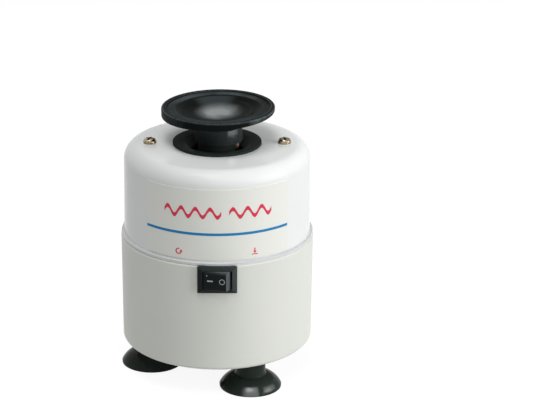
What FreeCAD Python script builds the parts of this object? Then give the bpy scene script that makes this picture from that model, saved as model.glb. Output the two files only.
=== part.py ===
import FreeCAD, Part
import math
import os

# Bench vortex mixer, drawn in millimetres at its real size.
# Z points up from the bench, X to the right, and the rocker switch faces -Y.
# The housing's axis is the Z axis. Every piece is drawn where it sits at rest.

# Fits that several pieces share
SEAT_GAP = 0.05         # radial gap of round pieces that sit fast in each other
RUN_GAP = 0.06          # radial gap of a shaft, pin or plunger that moves in its bore
HOLE_GAP = 0.3          # radial room of a screw or stud in a plain hole
OVERCUT = 1.0           # cutting tools reach past a face by this much

# Lower housing, a moulded pot
SHELL_R = 52.8          # outer radius at the rim
SHELL_H = 60.8          # underside to rim
SHELL_DRAFT = 0.4       # radius lost from the rim down to the underside
SHELL_WALL = 2.5
FLOOR_T = 2.5
FLOOR_ROUND = 2.0
RIM_ROUND = 0.8

# Upper cover, a moulded cap that plugs into the pot
COVER_H = 51.2          # rim to flat top
COVER_STEP = 1.7        # the wall stands this far inside the rim's radius
COVER_DRAFT = 0.4       # radius lost from the seam up to the top
COVER_WALL = 2.5
SHOULDER_ROUND = 8.0
FLANGE_H = 1.8
FLANGE_INSET = 0.2
FLANGE_ROUND = 0.5
SPIGOT_H = 4.0
SPIGOT_T = 1.5
SPIGOT_GAP = 0.2
SCREW_BOSS_R = 5.5
SCREW_BOSS_H = 3.0

# Printed panel on the front of the cover
LABEL_RISE = 3.0        # lower edge above the rim
LABEL_DROP = 0.8        # upper edge below the shoulder
LABEL_T = 0.3
LABEL_GLUE = 0.03
LABEL_HALF_ANGLE = 46.7

# Rubber ring in the cover's hole
NECK_ROOM = 3.1         # gap left round the neck when it orbits
RING_WALL = 1.9         # bore to groove
RING_BRIM = 4.2         # groove to outer edge
RING_T = 1.4
RING_FALL = 0.7         # the top falls this much towards the bore
RING_EDGE_ROUND = 0.6
RING_LIP = 2.2          # groove to the edge of the lower lip
RING_LIP_T = 1.5

# Mixing head, a rubber dish on a neck
ORBIT = 2.0             # eccentric offset of the head's axis
ORBIT_ANGLE = 65.0      # its direction at rest, from +X
NECK_R = 13.0
NECK_RISE = 2.2         # lower end of the neck above the cover
NECK_CHAMFER = 0.4
RUBBER_T = 2.0          # neck wall round the bearing cup
DISH_R = 30.8
DISH_RIM_H = 3.7
DISH_EDGE_ROUND = 0.6
DISH_LIP_W = 2.6
DISH_STEP = 0.8         # the lip stands this much above the land
DISH_LAND_W = 4.7
DISH_FLOOR_T = 2.2
BOWL_DEPTH = 5.8
FLARE_ROUND = 3.0       # where the neck runs out into the dish

# Bearing between head and eccentric
CUP_T = 1.5             # wall of the metal bearing cup
CUP_WEB_T = 1.0
CUP_SHOULDER = 1.0      # ledge that the bearing's outer ring seats against
BEARING_W = 6.0
BEARING_LIFT = 0.2      # bearing face above the neck's lower end
PIN_R = 4.0
INNER_RING_T = 1.6
OUTER_RING_T = 1.8
SHIELD_T = 0.5
SHIELD_SINK = 0.3
SHIELD_GAP = 0.3
PIN_SCREW_HEAD_R = 5.2
PIN_SCREW_HEAD_T = 1.5
PIN_SCREW_R = 1.5
PIN_SCREW_L = 5.0
PIN_SCREW_ROOM = 0.5

# Eccentric hub on the motor shaft
HUB_R = 10.5
HUB_H = 14.0
HUB_GAP = 1.0           # hub to the neck's lower end
HUB_CLEAR = 4.0         # hub to the carrier plate
PIN_SHOULDER = 1.4
SHAFT_GRIP = 13.0       # length of shaft inside the hub
HUB_SCREW_ANGLE = 8.0
HUB_SCREW_DROP = 2.6
HUB_SCREW_R = 1.5
HUB_SCREW_HEAD_R = 2.5
HUB_SCREW_HEAD_T = 2.2
HUB_FLAT = 0.8          # depth of the flat under the screw's head

# Motor
SHAFT_R = 4.0
SHAFT_TAIL = 2.0
STACK_H = 20.0
BACK_IRON = 5.5
SLOT_DEPTH = 7.0
SLOT_W = 4.2
SLOT_MOUTH = 1.6
SLOT_COUNT = 12
TOOTH_TIP = 1.5
AIR_GAP = 0.35
WINDING_GAP = 0.4
END_TURN_H = 8.0
END_TURN_CHAMFER = 1.5
INSULATION = 0.5
END_RING_H = 2.5
END_RING_INSET = 0.6
BRACKET_H = 13.0
WEB_T = 3.0
LEG_T = 5.0
LEG_W = 13.0
BOSS_WALL = 2.5
MOTOR_BUSH_WALL = 3.0
SPACER_T = 1.2
SPACER_WALL = 2.4
END_PLAY = 0.3
BOLT_R = 1.5
BOLT_INSET = 2.6
BOLT_HEAD_R = 2.8
BOLT_HEAD_T = 2.0
BOLT_NUT_AF = 5.5
BOLT_NUT_T = 2.4
BOLT_COUNT = 4
BOLT_PROUD = 1.0
ACTUATOR_R = 3.5
ACTUATOR_H = 3.0

# Sprung carrier for the motor, and the pillars that guide it
PLATE_T = 4.0
PLATE_END = 8.0         # plate past the pillar's axis
PLATE_ROOM = 3.7        # plate to the cover's inner wall
PLATE_SIDE = 3.0        # plate past the motor, front and back
PLATE_BORE_GAP = 1.5
PILLAR_R = 5.0
GUIDE_R = 3.5
MOTOR_GAP = 3.5         # motor to pillar
GUIDE_BUSH_WALL = 2.0
GUIDE_BUSH_BRIM = 2.0
GUIDE_BUSH_BRIM_T = 1.5
SPRING_H = 16.0
SPRING_WIRE = 1.0
SPRING_GAP = 0.4
CLIP_T = 1.0
CLIP_SINK = 0.6
CLIP_BRIM = 2.5
CLIP_SLOT_W = 4.0
STOP_GAP = 0.1
THREAD_DEPTH = 12.0     # tapped depth in each end of a pillar

# Base, feet and their fixings
BASE_T = 6.0
BASE_GAP = 0.6
FOOT_H = 17.7           # bench to the underside of the housing
FRONT_FOOT_ANGLE = -60.0
REAR_FOOT_ANGLE = 60.0
LEFT_FOOT_ANGLE = 180.0
SUCKER_R = 17.0
SUCKER_H = 7.6          # where the domed cup meets the neck
SUCKER_DOME = 1.1       # the cup stands this far outside a straight cone
SUCKER_EDGE_T = 0.9
SUCKER_RIM_W = 1.6
SUCKER_HOLLOW = 2.0
FOOT_NECK_R = 8.3
FOOT_FILLET = 1.2
STUD_R = 2.5
STUD_HEAD_R = 5.0
STUD_HEAD_T = 2.0
STUD_SINK = 5.0
STUD_PROUD = 1.5
STUD_NUT_AF = 8.0
STUD_NUT_T = 4.0
PILLAR_SCREW_HEAD_R = 4.5
PILLAR_SCREW_HEAD_T = 2.8
COVER_SCREW_R = 2.0
COVER_SCREW_HEAD_R = 3.6
COVER_SCREW_HEAD_T = 2.6
COVER_SCREW_GRIP = 9.0

# Rocker switch in a notch of the housing's rim
BEZEL_W = 21.2
BEZEL_H = 15.3
BEZEL_T = 2.3
BEZEL_EDGE_T = 0.8
BEZEL_SLOPE_X = 2.7
BEZEL_SLOPE_Z = 2.2
BEZEL_GAP = 0.1
SWITCH_BODY_EDGE = 1.0  # the bezel reaches past the body by this much, left and right
SWITCH_BODY_H = 13.4
SWITCH_BODY_D = 15.0
SWITCH_BACK_T = 2.0
NOTCH_GAP = 0.1
SWITCH_DROP = 0.5       # body below the housing's rim
ROCKER_GAP = 0.1
ROCKER_TILT = 12.0
ROCKER_FACE = 6.2       # pivot to the rocker's face
ROCKER_FACE_INSET = 1.75    # face inside the window at each end when it lies level
ROCKER_END_INSET = 0.6  # widest part inside the window at each end
ROCKER_END_DROP = 3.8   # widest part behind the face
ROCKER_CHAMFER = 0.9    # along the face's upper and lower edges
ROCKER_ROOT = 2.6       # rocker behind its pivot
ROCKER_SKIRT = 6.0
PIVOT_SINK = 1.9        # pivot behind the bezel's back
PIVOT_R = 1.2
BLADE_T = 0.8
BLADE_W = 4.8
BLADE_L = 7.0
BLADE_PITCH = 8.0

# Touch switch under the motor
TOUCH_L = 27.8
TOUCH_W = 10.3
TOUCH_H = 15.9
TOUCH_INSET = 8.0       # plunger inside the motor's outer radius
TOUCH_GAP = 0.2
TOUCH_HOLE_PITCH = 22.2
TOUCH_SCREW_R = 1.5
TOUCH_SCREW_HEAD_R = 2.6
TOUCH_SCREW_HEAD_T = 1.8
PLUNGER_R = 1.6
PLUNGER_PROUD = 2.8
PLUNGER_DEPTH = 4.0
TRAVEL = 2.0            # stroke of the carrier and the plunger
TAB_T = 0.5
TAB_W = 4.0
TAB_L = 4.5
TAB_PITCH = 9.0
ANGLE_T = 2.0           # sheet of the bracket
ANGLE_FOOT = 12.0
ANGLE_BEND = 1.0
ANGLE_SCREW_DEPTH = 4.0

# Gland for the lead, in the rear wall
GLAND_RISE = 12.0       # axis above the base plate
GLAND_BORE_R = 3.3
GLAND_WALL = 2.7
GLAND_BRIM = 2.5
GLAND_BRIM_T = 4.5
GLAND_EDGE_ROUND = 1.6
GLAND_BARB = 1.0
GLAND_BARB_T = 3.0

# Shares of a screw head's own size
HEAD_DOME = 0.7
RECESS_WIDTH = 0.3
RECESS_SPAN = 1.2
RECESS_DEPTH = 0.5

# Heights worked out from the sizes
FLOOR_Z = FOOT_H
FLOOR_TOP = FLOOR_Z + FLOOR_T
BASE_TOP = FLOOR_TOP + BASE_T
RIM_Z = FLOOR_Z + SHELL_H
COVER_TOP = RIM_Z + COVER_H
COVER_UNDER = COVER_TOP - COVER_WALL
SHOULDER_Z = COVER_TOP - SHOULDER_ROUND
PILLAR_TOP = COVER_UNDER - SCREW_BOSS_H
NECK_Z = COVER_TOP + NECK_RISE
HUB_TOP = NECK_Z - HUB_GAP
HUB_Z = HUB_TOP - HUB_H
PLATE_TOP = HUB_Z - HUB_CLEAR
PLATE_Z = PLATE_TOP - PLATE_T
STACK_TOP = PLATE_Z - BRACKET_H
STACK_Z = STACK_TOP - STACK_H
MOTOR_Z = STACK_Z - BRACKET_H
SPRING_TOP = PLATE_Z - GUIDE_BUSH_BRIM_T
SPRING_Z = SPRING_TOP - SPRING_H
BEARING_Z = NECK_Z + BEARING_LIFT
BEARING_TOP = BEARING_Z + BEARING_W
CUP_WEB_Z = BEARING_TOP + PIN_SCREW_HEAD_T + PIN_SCREW_ROOM
CUP_TOP = CUP_WEB_Z + CUP_WEB_T
BOWL_Z = CUP_TOP + DISH_FLOOR_T
LAND_Z = BOWL_Z + BOWL_DEPTH
DISH_TOP = LAND_Z + DISH_STEP
PLUNGER_TOP = MOTOR_Z - ACTUATOR_H - TOUCH_GAP
TOUCH_TOP = PLUNGER_TOP - PLUNGER_PROUD
TOUCH_Z = TOUCH_TOP - TOUCH_H
GLAND_Z = BASE_TOP + GLAND_RISE

# Radii and places worked out from the sizes
COVER_R = SHELL_R - COVER_STEP
COVER_TOP_R = COVER_R - COVER_DRAFT
PILLAR_X = COVER_TOP_R - COVER_WALL - PLATE_ROOM - PLATE_END
MOTOR_R = PILLAR_X - PILLAR_R - MOTOR_GAP
SLOT_OUT_R = MOTOR_R - BACK_IRON
SLOT_IN_R = SLOT_OUT_R - SLOT_DEPTH
STATOR_BORE_R = SLOT_IN_R - TOOTH_TIP
ROTOR_R = STATOR_BORE_R - AIR_GAP
BOLT_CIRCLE_R = MOTOR_R - BOLT_INSET
MOTOR_BUSH_R = SHAFT_R + RUN_GAP + MOTOR_BUSH_WALL
MOTOR_BUSH_L = BRACKET_H - END_RING_H - SPACER_T - END_PLAY
GUIDE_BUSH_R = GUIDE_R + RUN_GAP + GUIDE_BUSH_WALL
RING_BORE_R = NECK_R + ORBIT + NECK_ROOM
RING_GROOVE_R = RING_BORE_R + RING_WALL
CUP_R = NECK_R - RUBBER_T
BEARING_R = CUP_R - CUP_T
HEAD_X = ORBIT * math.cos(math.radians(ORBIT_ANGLE))
HEAD_Y = ORBIT * math.sin(math.radians(ORBIT_ANGLE))
SWITCH_Y = -SHELL_R - BEZEL_GAP
SWITCH_Z = RIM_Z - SWITCH_DROP - SWITCH_BODY_H / 2
SWITCH_BODY_W = BEZEL_W - 2 * SWITCH_BODY_EDGE
WINDOW_W = BEZEL_W - 2 * BEZEL_SLOPE_X
WINDOW_H = BEZEL_H - 2 * BEZEL_SLOPE_Z
PIVOT_Y = SWITCH_Y + PIVOT_SINK
TOUCH_Y = MOTOR_R - TOUCH_INSET
ANGLE_Y = TOUCH_Y + TOUCH_W / 2

ORIGIN = FreeCAD.Vector(0, 0, 0)
X_AXIS = FreeCAD.Vector(1, 0, 0)
Y_AXIS = FreeCAD.Vector(0, 1, 0)
Z_AXIS = FreeCAD.Vector(0, 0, 1)
SQUARE_TURN = 90.0
HALF_TURN = 180.0
FULL_TURN = 360.0
SAME_POINT = 1e-6


# Drawing helpers

def outline_face(nodes):
    """Face in the XZ plane. A node is (r, z), or (r, z, via_r, via_z) for an arc that ends there."""
    points = [FreeCAD.Vector(node[0], 0, node[1]) for node in nodes]
    edges = []
    for index, node in enumerate(nodes):
        start = points[index - 1]
        end = points[index]
        if start.distanceToPoint(end) < SAME_POINT:
            continue
        if len(node) == 4:
            via = FreeCAD.Vector(node[2], 0, node[3])
            edges.append(Part.Arc(start, via, end).toShape())
        else:
            edges.append(Part.LineSegment(start, end).toShape())
    return Part.Face(Part.Wire(edges))


def rounded(before, corner, after, radius):
    """Two outline nodes that round a corner: where the arc starts, and the arc to where it ends."""
    middle = FreeCAD.Vector(corner[0], corner[1], 0)
    back = (FreeCAD.Vector(before[0], before[1], 0) - middle).normalize()
    ahead = (FreeCAD.Vector(after[0], after[1], 0) - middle).normalize()
    half = back.getAngle(ahead) / 2
    reach = radius / math.tan(half)
    inward = (back + ahead).normalize()
    start = middle + back * reach
    end = middle + ahead * reach
    via = middle + inward * (radius / math.sin(half) - radius)
    return (start.x, start.y), (end.x, end.y, via.x, via.y)


def cap_node(start, end):
    """Outline node at the end of a round cap that runs between its rim and its apex on the axis."""
    rim, apex = sorted((start, end), reverse=True)
    depth = rim[1] - apex[1]
    ball = (rim[0] ** 2 + depth ** 2) / (2 * depth)
    via_r = rim[0] / 2
    side = math.copysign(math.sqrt(ball ** 2 - via_r ** 2), ball)
    return (*end, via_r, apex[1] + ball - side)


def dome_node(start, end, rise):
    """Outline node at the end of an arc that stands this far outside the straight line to it."""
    out = end[0] - start[0]
    down = start[1] - end[1]
    length = math.hypot(out, down)
    via_r = (start[0] + end[0]) / 2 + rise * down / length
    via_z = (start[1] + end[1]) / 2 + rise * out / length
    return (*end, via_r, via_z)


def moved(shape, x=0.0, y=0.0, z=0.0):
    """The shape itself, shifted."""
    shape.translate(FreeCAD.Vector(x, y, z))
    return shape


def turned(nodes, x=0.0, y=0.0):
    """Solid of revolution about a vertical axis through (x, y)."""
    return moved(outline_face(nodes).revolve(ORIGIN, Z_AXIS, FULL_TURN), x, y)


def rod(radius, low, high, x=0.0, y=0.0):
    return Part.makeCylinder(radius, high - low, FreeCAD.Vector(x, y, low))


def tube(bore, radius, low, high, x=0.0, y=0.0):
    return rod(radius, low, high, x, y).cut(rod(bore, low - OVERCUT, high + OVERCUT, x, y))


def block(x_span, y_span, z_span):
    """Box between three pairs of limits."""
    size = [span[1] - span[0] for span in (x_span, y_span, z_span)]
    corner = FreeCAD.Vector(x_span[0], y_span[0], z_span[0])
    return Part.makeBox(size[0], size[1], size[2], corner)


def middle_span(width, centre=0.0):
    """Limits of a width about a centre."""
    return (centre - width / 2, centre + width / 2)


def hexagon(across_flats, low, high, x, y):
    corner_r = across_flats / math.sqrt(3)
    turns = [math.radians(60 * side) for side in range(7)]
    points = [FreeCAD.Vector(corner_r * math.cos(a), corner_r * math.sin(a), low) for a in turns]
    face = Part.Face(Part.makePolygon(points))
    return moved(face.extrude(Z_AXIS * (high - low)), x, y)


def spun(shape, angle):
    """Copy of a shape turned about the Z axis."""
    copy = shape.copy()
    copy.rotate(ORIGIN, Z_AXIS, angle)
    return copy


def polar(radius, angle):
    turn = math.radians(angle)
    return radius * math.cos(turn), radius * math.sin(turn)


def group(shapes):
    return Part.makeCompound(list(shapes))


def screw(head_r, head_t, shank_r, length):
    """Pan-head screw, head up, with the seat of its head at height 0 and a cross recess."""
    crown = (head_r, head_t)
    seat = (head_r, 0)
    top = (0, head_t)
    body = turned([
        (0, -length),
        (shank_r, -length),
        (shank_r, 0),
        seat,
        *rounded(seat, crown, top, HEAD_DOME * head_t),
        top,
    ])
    span = middle_span(RECESS_SPAN * head_r)
    slot = middle_span(RECESS_WIDTH * head_r)
    depth = (head_t * (1 - RECESS_DEPTH), head_t + OVERCUT)
    return body.cut([block(span, slot, depth), block(slot, span, depth)])


def foot_places():
    """Centres of the feet. The left one stands under the left pillar."""
    return {
        "front": polar(PILLAR_X, FRONT_FOOT_ANGLE),
        "rear": polar(PILLAR_X, REAR_FOOT_ANGLE),
        "left": polar(PILLAR_X, LEFT_FOOT_ANGLE),
    }


def bolt_places():
    step = FULL_TURN / BOLT_COUNT
    return [polar(BOLT_CIRCLE_R, step * (index + 0.5)) for index in range(BOLT_COUNT)]


# Housing

def shell_radius(height):
    """Outer radius of the lower housing, with its draft."""
    return SHELL_R - SHELL_DRAFT * (RIM_Z - height) / SHELL_H


def cover_radius(height):
    """Outer radius of the cover's wall, with its draft."""
    return COVER_R - COVER_DRAFT * (height - RIM_Z) / COVER_H


def lower_housing():
    """Pot with a notch for the rocker switch, a gland hole and holes in its floor."""
    centre = (0, FLOOR_Z)
    heel = (shell_radius(FLOOR_Z), FLOOR_Z)
    lip = (SHELL_R, RIM_Z)
    inner_lip = (SHELL_R - SHELL_WALL, RIM_Z)
    pot = turned([
        centre,
        *rounded(centre, heel, lip, FLOOR_ROUND),
        *rounded(heel, lip, inner_lip, RIM_ROUND),
        inner_lip,
        (shell_radius(FLOOR_TOP) - SHELL_WALL, FLOOR_TOP),
        (0, FLOOR_TOP),
    ])
    floor_cut = (FLOOR_Z - OVERCUT, FLOOR_TOP + OVERCUT)
    holes = [rod(STUD_R + HOLE_GAP, *floor_cut, x, y) for x, y in foot_places().values()]
    holes.append(rod(STUD_R + HOLE_GAP, *floor_cut, PILLAR_X, 0))
    half = SWITCH_BODY_W / 2 + NOTCH_GAP
    wall_y = math.sqrt((SHELL_R - SHELL_WALL) ** 2 - half ** 2)
    notch_low = SWITCH_Z - SWITCH_BODY_H / 2 - NOTCH_GAP
    holes.append(block((-half, half), (SWITCH_Y, OVERCUT - wall_y), (notch_low, RIM_Z + OVERCUT)))
    gland_r = GLAND_BORE_R + GLAND_WALL + SEAT_GAP
    start = FreeCAD.Vector(0, SHELL_R - SHELL_WALL - gland_r, GLAND_Z)
    holes.append(Part.makeCylinder(gland_r, SHELL_WALL + gland_r + OVERCUT, start, Y_AXIS))
    return pot.cut(holes)


def upper_cover():
    """Cap with a shoulder, a flange over the seam, a spigot inside the pot and two screw bosses."""
    flange_r = SHELL_R - FLANGE_INSET
    flange_top = RIM_Z + FLANGE_H
    foot = (flange_r, RIM_Z)
    edge = (flange_r, flange_top)
    root = (cover_radius(flange_top), flange_top)
    wall_top = (COVER_TOP_R, COVER_TOP)
    hole = (RING_GROOVE_R + SEAT_GAP, COVER_TOP)
    hole_under = (hole[0], COVER_UNDER)
    spigot_r = SHELL_R - SHELL_WALL - SPIGOT_GAP
    inner_r = COVER_R - COVER_WALL
    inner_top = (COVER_TOP_R - COVER_WALL, COVER_UNDER)
    cap = turned([
        (spigot_r - SPIGOT_T, RIM_Z - SPIGOT_H),
        (spigot_r, RIM_Z - SPIGOT_H),
        (spigot_r, RIM_Z),
        *rounded((spigot_r, RIM_Z), foot, edge, FLANGE_ROUND),
        *rounded(foot, edge, root, FLANGE_ROUND),
        *rounded(edge, root, wall_top, FLANGE_ROUND),
        *rounded(root, wall_top, hole, SHOULDER_ROUND),
        hole,
        hole_under,
        *rounded(hole_under, inner_top, (inner_r, RIM_Z), SHOULDER_ROUND - COVER_WALL),
        (inner_r, RIM_Z),
        (spigot_r - SPIGOT_T, RIM_Z),
    ])
    sides = (-PILLAR_X, PILLAR_X)
    cap = cap.fuse([rod(SCREW_BOSS_R, PILLAR_TOP, COVER_TOP - COVER_WALL / 2, x) for x in sides])
    holes = [rod(COVER_SCREW_R + HOLE_GAP, PILLAR_TOP - OVERCUT, COVER_TOP + OVERCUT, x) for x in sides]
    gap_x = middle_span(BEZEL_W)
    gap_y = (-SHELL_R, SWITCH_BODY_W / 2 - spigot_r + SPIGOT_T)
    holes.append(block(gap_x, gap_y, (RIM_Z - SPIGOT_H - OVERCUT, RIM_Z)))
    return cap.cut(holes).removeSplitter()


def cover_ring():
    """Rubber ring that grips the edge of the cover's hole in a groove."""
    brim_r = RING_GROOVE_R + RING_BRIM
    lip_r = RING_GROOVE_R + RING_LIP
    top = COVER_TOP + RING_T
    bottom = COVER_UNDER - RING_LIP_T
    inner_top = (RING_BORE_R, top - RING_FALL)
    brim_top = (brim_r, top)
    brim_under = (brim_r, COVER_TOP)
    return turned([
        (RING_BORE_R, bottom),
        (lip_r - RING_LIP_T / 2, bottom),
        (lip_r, COVER_UNDER),
        (RING_GROOVE_R, COVER_UNDER),
        (RING_GROOVE_R, COVER_TOP),
        brim_under,
        *rounded(brim_under, brim_top, inner_top, RING_EDGE_ROUND),
        inner_top,
    ])


def label_panel():
    """Thin curved panel on the front of the cover's drafted wall."""
    low = RIM_Z + LABEL_RISE
    high = SHOULDER_Z - LABEL_DROP
    inner_low = cover_radius(low) + LABEL_GLUE
    inner_high = cover_radius(high) + LABEL_GLUE
    face = outline_face([
        (inner_low, low),
        (inner_low + LABEL_T, low),
        (inner_high + LABEL_T, high),
        (inner_high, high),
    ])
    panel = face.revolve(ORIGIN, Z_AXIS, 2 * LABEL_HALF_ANGLE)
    return spun(panel, -SQUARE_TURN - LABEL_HALF_ANGLE)


def cover_screws():
    length = COVER_TOP - PILLAR_TOP + COVER_SCREW_GRIP
    sides = (-PILLAR_X, PILLAR_X)
    return group(
        moved(screw(COVER_SCREW_HEAD_R, COVER_SCREW_HEAD_T, COVER_SCREW_R, length), x, 0, COVER_TOP)
        for x in sides
    )


def base_plate():
    """Heavy steel disc on the housing's floor, clamped there by the studs."""
    radius = shell_radius(FLOOR_TOP) - SHELL_WALL - BASE_GAP
    span = (FLOOR_TOP - OVERCUT, BASE_TOP + OVERCUT)
    holes = [rod(STUD_R + HOLE_GAP, *span, x, y) for x, y in foot_places().values()]
    holes.append(rod(STUD_R + HOLE_GAP, *span, PILLAR_X, 0))
    for x in middle_span(TAB_PITCH):
        tapped = (BASE_TOP - ANGLE_SCREW_DEPTH, BASE_TOP + OVERCUT)
        holes.append(rod(TOUCH_SCREW_R + SEAT_GAP, *tapped, x, ANGLE_Y - ANGLE_FOOT / 2))
    return rod(radius, FLOOR_TOP, BASE_TOP).cut(holes)


# Feet

def suction_foot(x, y):
    """Rubber suction cup with a domed skirt, a hollow underside and a pocket for its stud."""
    rim_in = SUCKER_R - SUCKER_RIM_W
    neck_top = (FOOT_NECK_R, FLOOR_Z)
    edge = (SUCKER_R, SUCKER_EDGE_T)
    neck_end, dome_start = rounded(neck_top, (FOOT_NECK_R, SUCKER_H), edge, FOOT_FILLET)
    cup = turned([
        (0, FLOOR_Z),
        neck_top,
        neck_end,
        dome_start,
        dome_node(dome_start, edge, SUCKER_DOME),
        (SUCKER_R, 0),
        (rim_in, 0),
        cap_node((rim_in, 0), (0, SUCKER_HOLLOW)),
    ], x, y)
    head_top = FLOOR_Z - STUD_SINK
    pocket = rod(STUD_HEAD_R + SEAT_GAP, head_top - STUD_HEAD_T, head_top, x, y)
    return cup.cut([pocket, rod(STUD_R + SEAT_GAP, head_top - STUD_HEAD_T, FLOOR_Z + OVERCUT, x, y)])


def foot_studs():
    """Studs moulded into the feet. The left one screws into the left pillar."""
    head_top = FLOOR_Z - STUD_SINK
    studs = []
    for name, (x, y) in foot_places().items():
        reach = THREAD_DEPTH - STUD_PROUD if name == "left" else STUD_NUT_T + STUD_PROUD
        head = rod(STUD_HEAD_R, head_top - STUD_HEAD_T, head_top, x, y)
        studs.append(head.fuse(rod(STUD_R, head_top - STUD_HEAD_T, BASE_TOP + reach, x, y)).removeSplitter())
    return group(studs)


def foot_nuts():
    high = BASE_TOP + STUD_NUT_T
    nuts = []
    for name in ("front", "rear"):
        x, y = foot_places()[name]
        nut = hexagon(STUD_NUT_AF, BASE_TOP, high, x, y)
        nuts.append(nut.cut(rod(STUD_R + SEAT_GAP, BASE_TOP - OVERCUT, high + OVERCUT, x, y)))
    return group(nuts)


def pillar_screw():
    """Screw from below into the right pillar."""
    length = BASE_TOP - FLOOR_Z + THREAD_DEPTH - STUD_PROUD
    shape = screw(PILLAR_SCREW_HEAD_R, PILLAR_SCREW_HEAD_T, STUD_R, length)
    shape.rotate(ORIGIN, X_AXIS, HALF_TURN)
    return moved(shape, PILLAR_X, 0, FLOOR_Z)


# Pillars and sprung carrier

def clip_height():
    """Lower face of the retaining rings, just above the guide bushes."""
    return PLATE_TOP + STOP_GAP


def pillar(x):
    """Stepped steel pillar: the spring stands on its step and the bush slides on its upper part."""
    low = clip_height()
    high = low + CLIP_T
    groove_r = GUIDE_R - CLIP_SINK
    post = turned([
        (0, BASE_TOP),
        (PILLAR_R, BASE_TOP),
        (PILLAR_R, SPRING_Z),
        (GUIDE_R, SPRING_Z),
        (GUIDE_R, low),
        (groove_r, low),
        (groove_r, high),
        (GUIDE_R, high),
        (GUIDE_R, PILLAR_TOP),
        (0, PILLAR_TOP),
    ], x)
    lower = rod(STUD_R + SEAT_GAP, BASE_TOP - OVERCUT, BASE_TOP + THREAD_DEPTH, x)
    upper = rod(COVER_SCREW_R + SEAT_GAP, PILLAR_TOP - THREAD_DEPTH, PILLAR_TOP + OVERCUT, x)
    return post.cut([lower, upper])


def retaining_rings():
    low = clip_height()
    high = low + CLIP_T
    bore = GUIDE_R - CLIP_SINK + SEAT_GAP
    brim = GUIDE_R + CLIP_BRIM
    rings = []
    for x in (-PILLAR_X, PILLAR_X):
        ring = tube(bore, brim, low, high, x)
        slot = block(middle_span(CLIP_SLOT_W, x), (0, brim), (low - OVERCUT, high + OVERCUT))
        rings.append(ring.cut(slot))
    return group(rings)


def carrier_springs():
    """Compression springs round the pillars, drawn as the sleeves that they fill."""
    bore = GUIDE_R + SPRING_GAP
    return group(tube(bore, bore + SPRING_WIRE, SPRING_Z, SPRING_TOP, x) for x in (-PILLAR_X, PILLAR_X))


def carrier_plate():
    """Laminate plate that carries the motor and slides on the two pillars."""
    half = MOTOR_R + PLATE_SIDE
    reach = PILLAR_X + PLATE_END
    span = (PLATE_Z - OVERCUT, PLATE_TOP + OVERCUT)
    plate = rod(reach, PLATE_Z, PLATE_TOP).common(block((-reach, reach), (-half, half), span))
    holes = [rod(MOTOR_BUSH_R + BOSS_WALL + PLATE_BORE_GAP, *span)]
    holes += [rod(GUIDE_BUSH_R + SEAT_GAP, *span, x) for x in (-PILLAR_X, PILLAR_X)]
    holes += [rod(BOLT_R + HOLE_GAP, *span, x, y) for x, y in bolt_places()]
    return plate.cut(holes)


def guide_bushes():
    """Flanged bushes in the carrier plate, running on the pillars."""
    bore = GUIDE_R + RUN_GAP
    brim = GUIDE_BUSH_R + GUIDE_BUSH_BRIM
    outline = [
        (bore, SPRING_TOP),
        (brim, SPRING_TOP),
        (brim, PLATE_Z),
        (GUIDE_BUSH_R, PLATE_Z),
        (GUIDE_BUSH_R, PLATE_TOP),
        (bore, PLATE_TOP),
    ]
    return group(turned(outline, x) for x in (-PILLAR_X, PILLAR_X))


# Motor

def slot_pieces(width, inner, outer, low, high):
    """One upright bar for each slot of the stator."""
    bar = block((inner, outer), middle_span(width), (low, high))
    return [spun(bar, FULL_TURN / SLOT_COUNT * index) for index in range(SLOT_COUNT)]


def stator_core():
    """Laminated ring with slots that open into its bore."""
    core = tube(STATOR_BORE_R, MOTOR_R, STACK_Z, STACK_TOP)
    low = STACK_Z - OVERCUT
    high = STACK_TOP + OVERCUT
    cuts = slot_pieces(SLOT_W, SLOT_IN_R, SLOT_OUT_R, low, high)
    cuts += slot_pieces(SLOT_MOUTH, STATOR_BORE_R - TOOTH_TIP, SLOT_IN_R + WINDING_GAP, low, high)
    cuts += [rod(BOLT_R + HOLE_GAP, low, high, x, y) for x, y in bolt_places()]
    return core.cut(cuts)


def stator_windings():
    """Copper winding: a bar through each slot, joined by end turns above and below."""
    inner = SLOT_IN_R + WINDING_GAP
    outer = SLOT_OUT_R - WINDING_GAP
    low = STACK_TOP + INSULATION
    high = STACK_TOP + END_TURN_H
    upper = turned([
        (inner, low),
        (outer, low),
        (outer, high - END_TURN_CHAMFER),
        (outer - END_TURN_CHAMFER, high),
        (inner + END_TURN_CHAMFER, high),
        (inner, high - END_TURN_CHAMFER),
    ])
    lower = upper.copy()
    lower.rotate(FreeCAD.Vector(0, 0, (STACK_Z + STACK_TOP) / 2), X_AXIS, HALF_TURN)
    width = SLOT_W - 2 * WINDING_GAP
    bars = slot_pieces(width, inner, outer, STACK_Z - INSULATION, STACK_TOP + INSULATION)
    return upper.fuse([lower, *bars]).removeSplitter()


def end_bracket():
    """Cast end bracket above a stator face at height 0: legs, web and a boss for the bush."""
    web = rod(MOTOR_R, BRACKET_H - WEB_T, BRACKET_H)
    boss = rod(MOTOR_BUSH_R + SEAT_GAP + BOSS_WALL, BRACKET_H - MOTOR_BUSH_L, BRACKET_H)
    wall = tube(MOTOR_R - LEG_T, MOTOR_R, 0, BRACKET_H)
    bar = block((-MOTOR_R, MOTOR_R), middle_span(LEG_W), (0, BRACKET_H))
    quarter = FULL_TURN / BOLT_COUNT
    legs = wall.common(spun(bar, quarter / 2).fuse(spun(bar, -quarter / 2)))
    cuts = [rod(MOTOR_BUSH_R + SEAT_GAP, -OVERCUT, BRACKET_H + OVERCUT)]
    cuts += [rod(BOLT_R + HOLE_GAP, -OVERCUT, BRACKET_H + OVERCUT, x, y) for x, y in bolt_places()]
    return web.fuse([boss, legs]).cut(cuts).removeSplitter()


def upper_bracket():
    return moved(end_bracket(), 0, 0, STACK_TOP)


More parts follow.
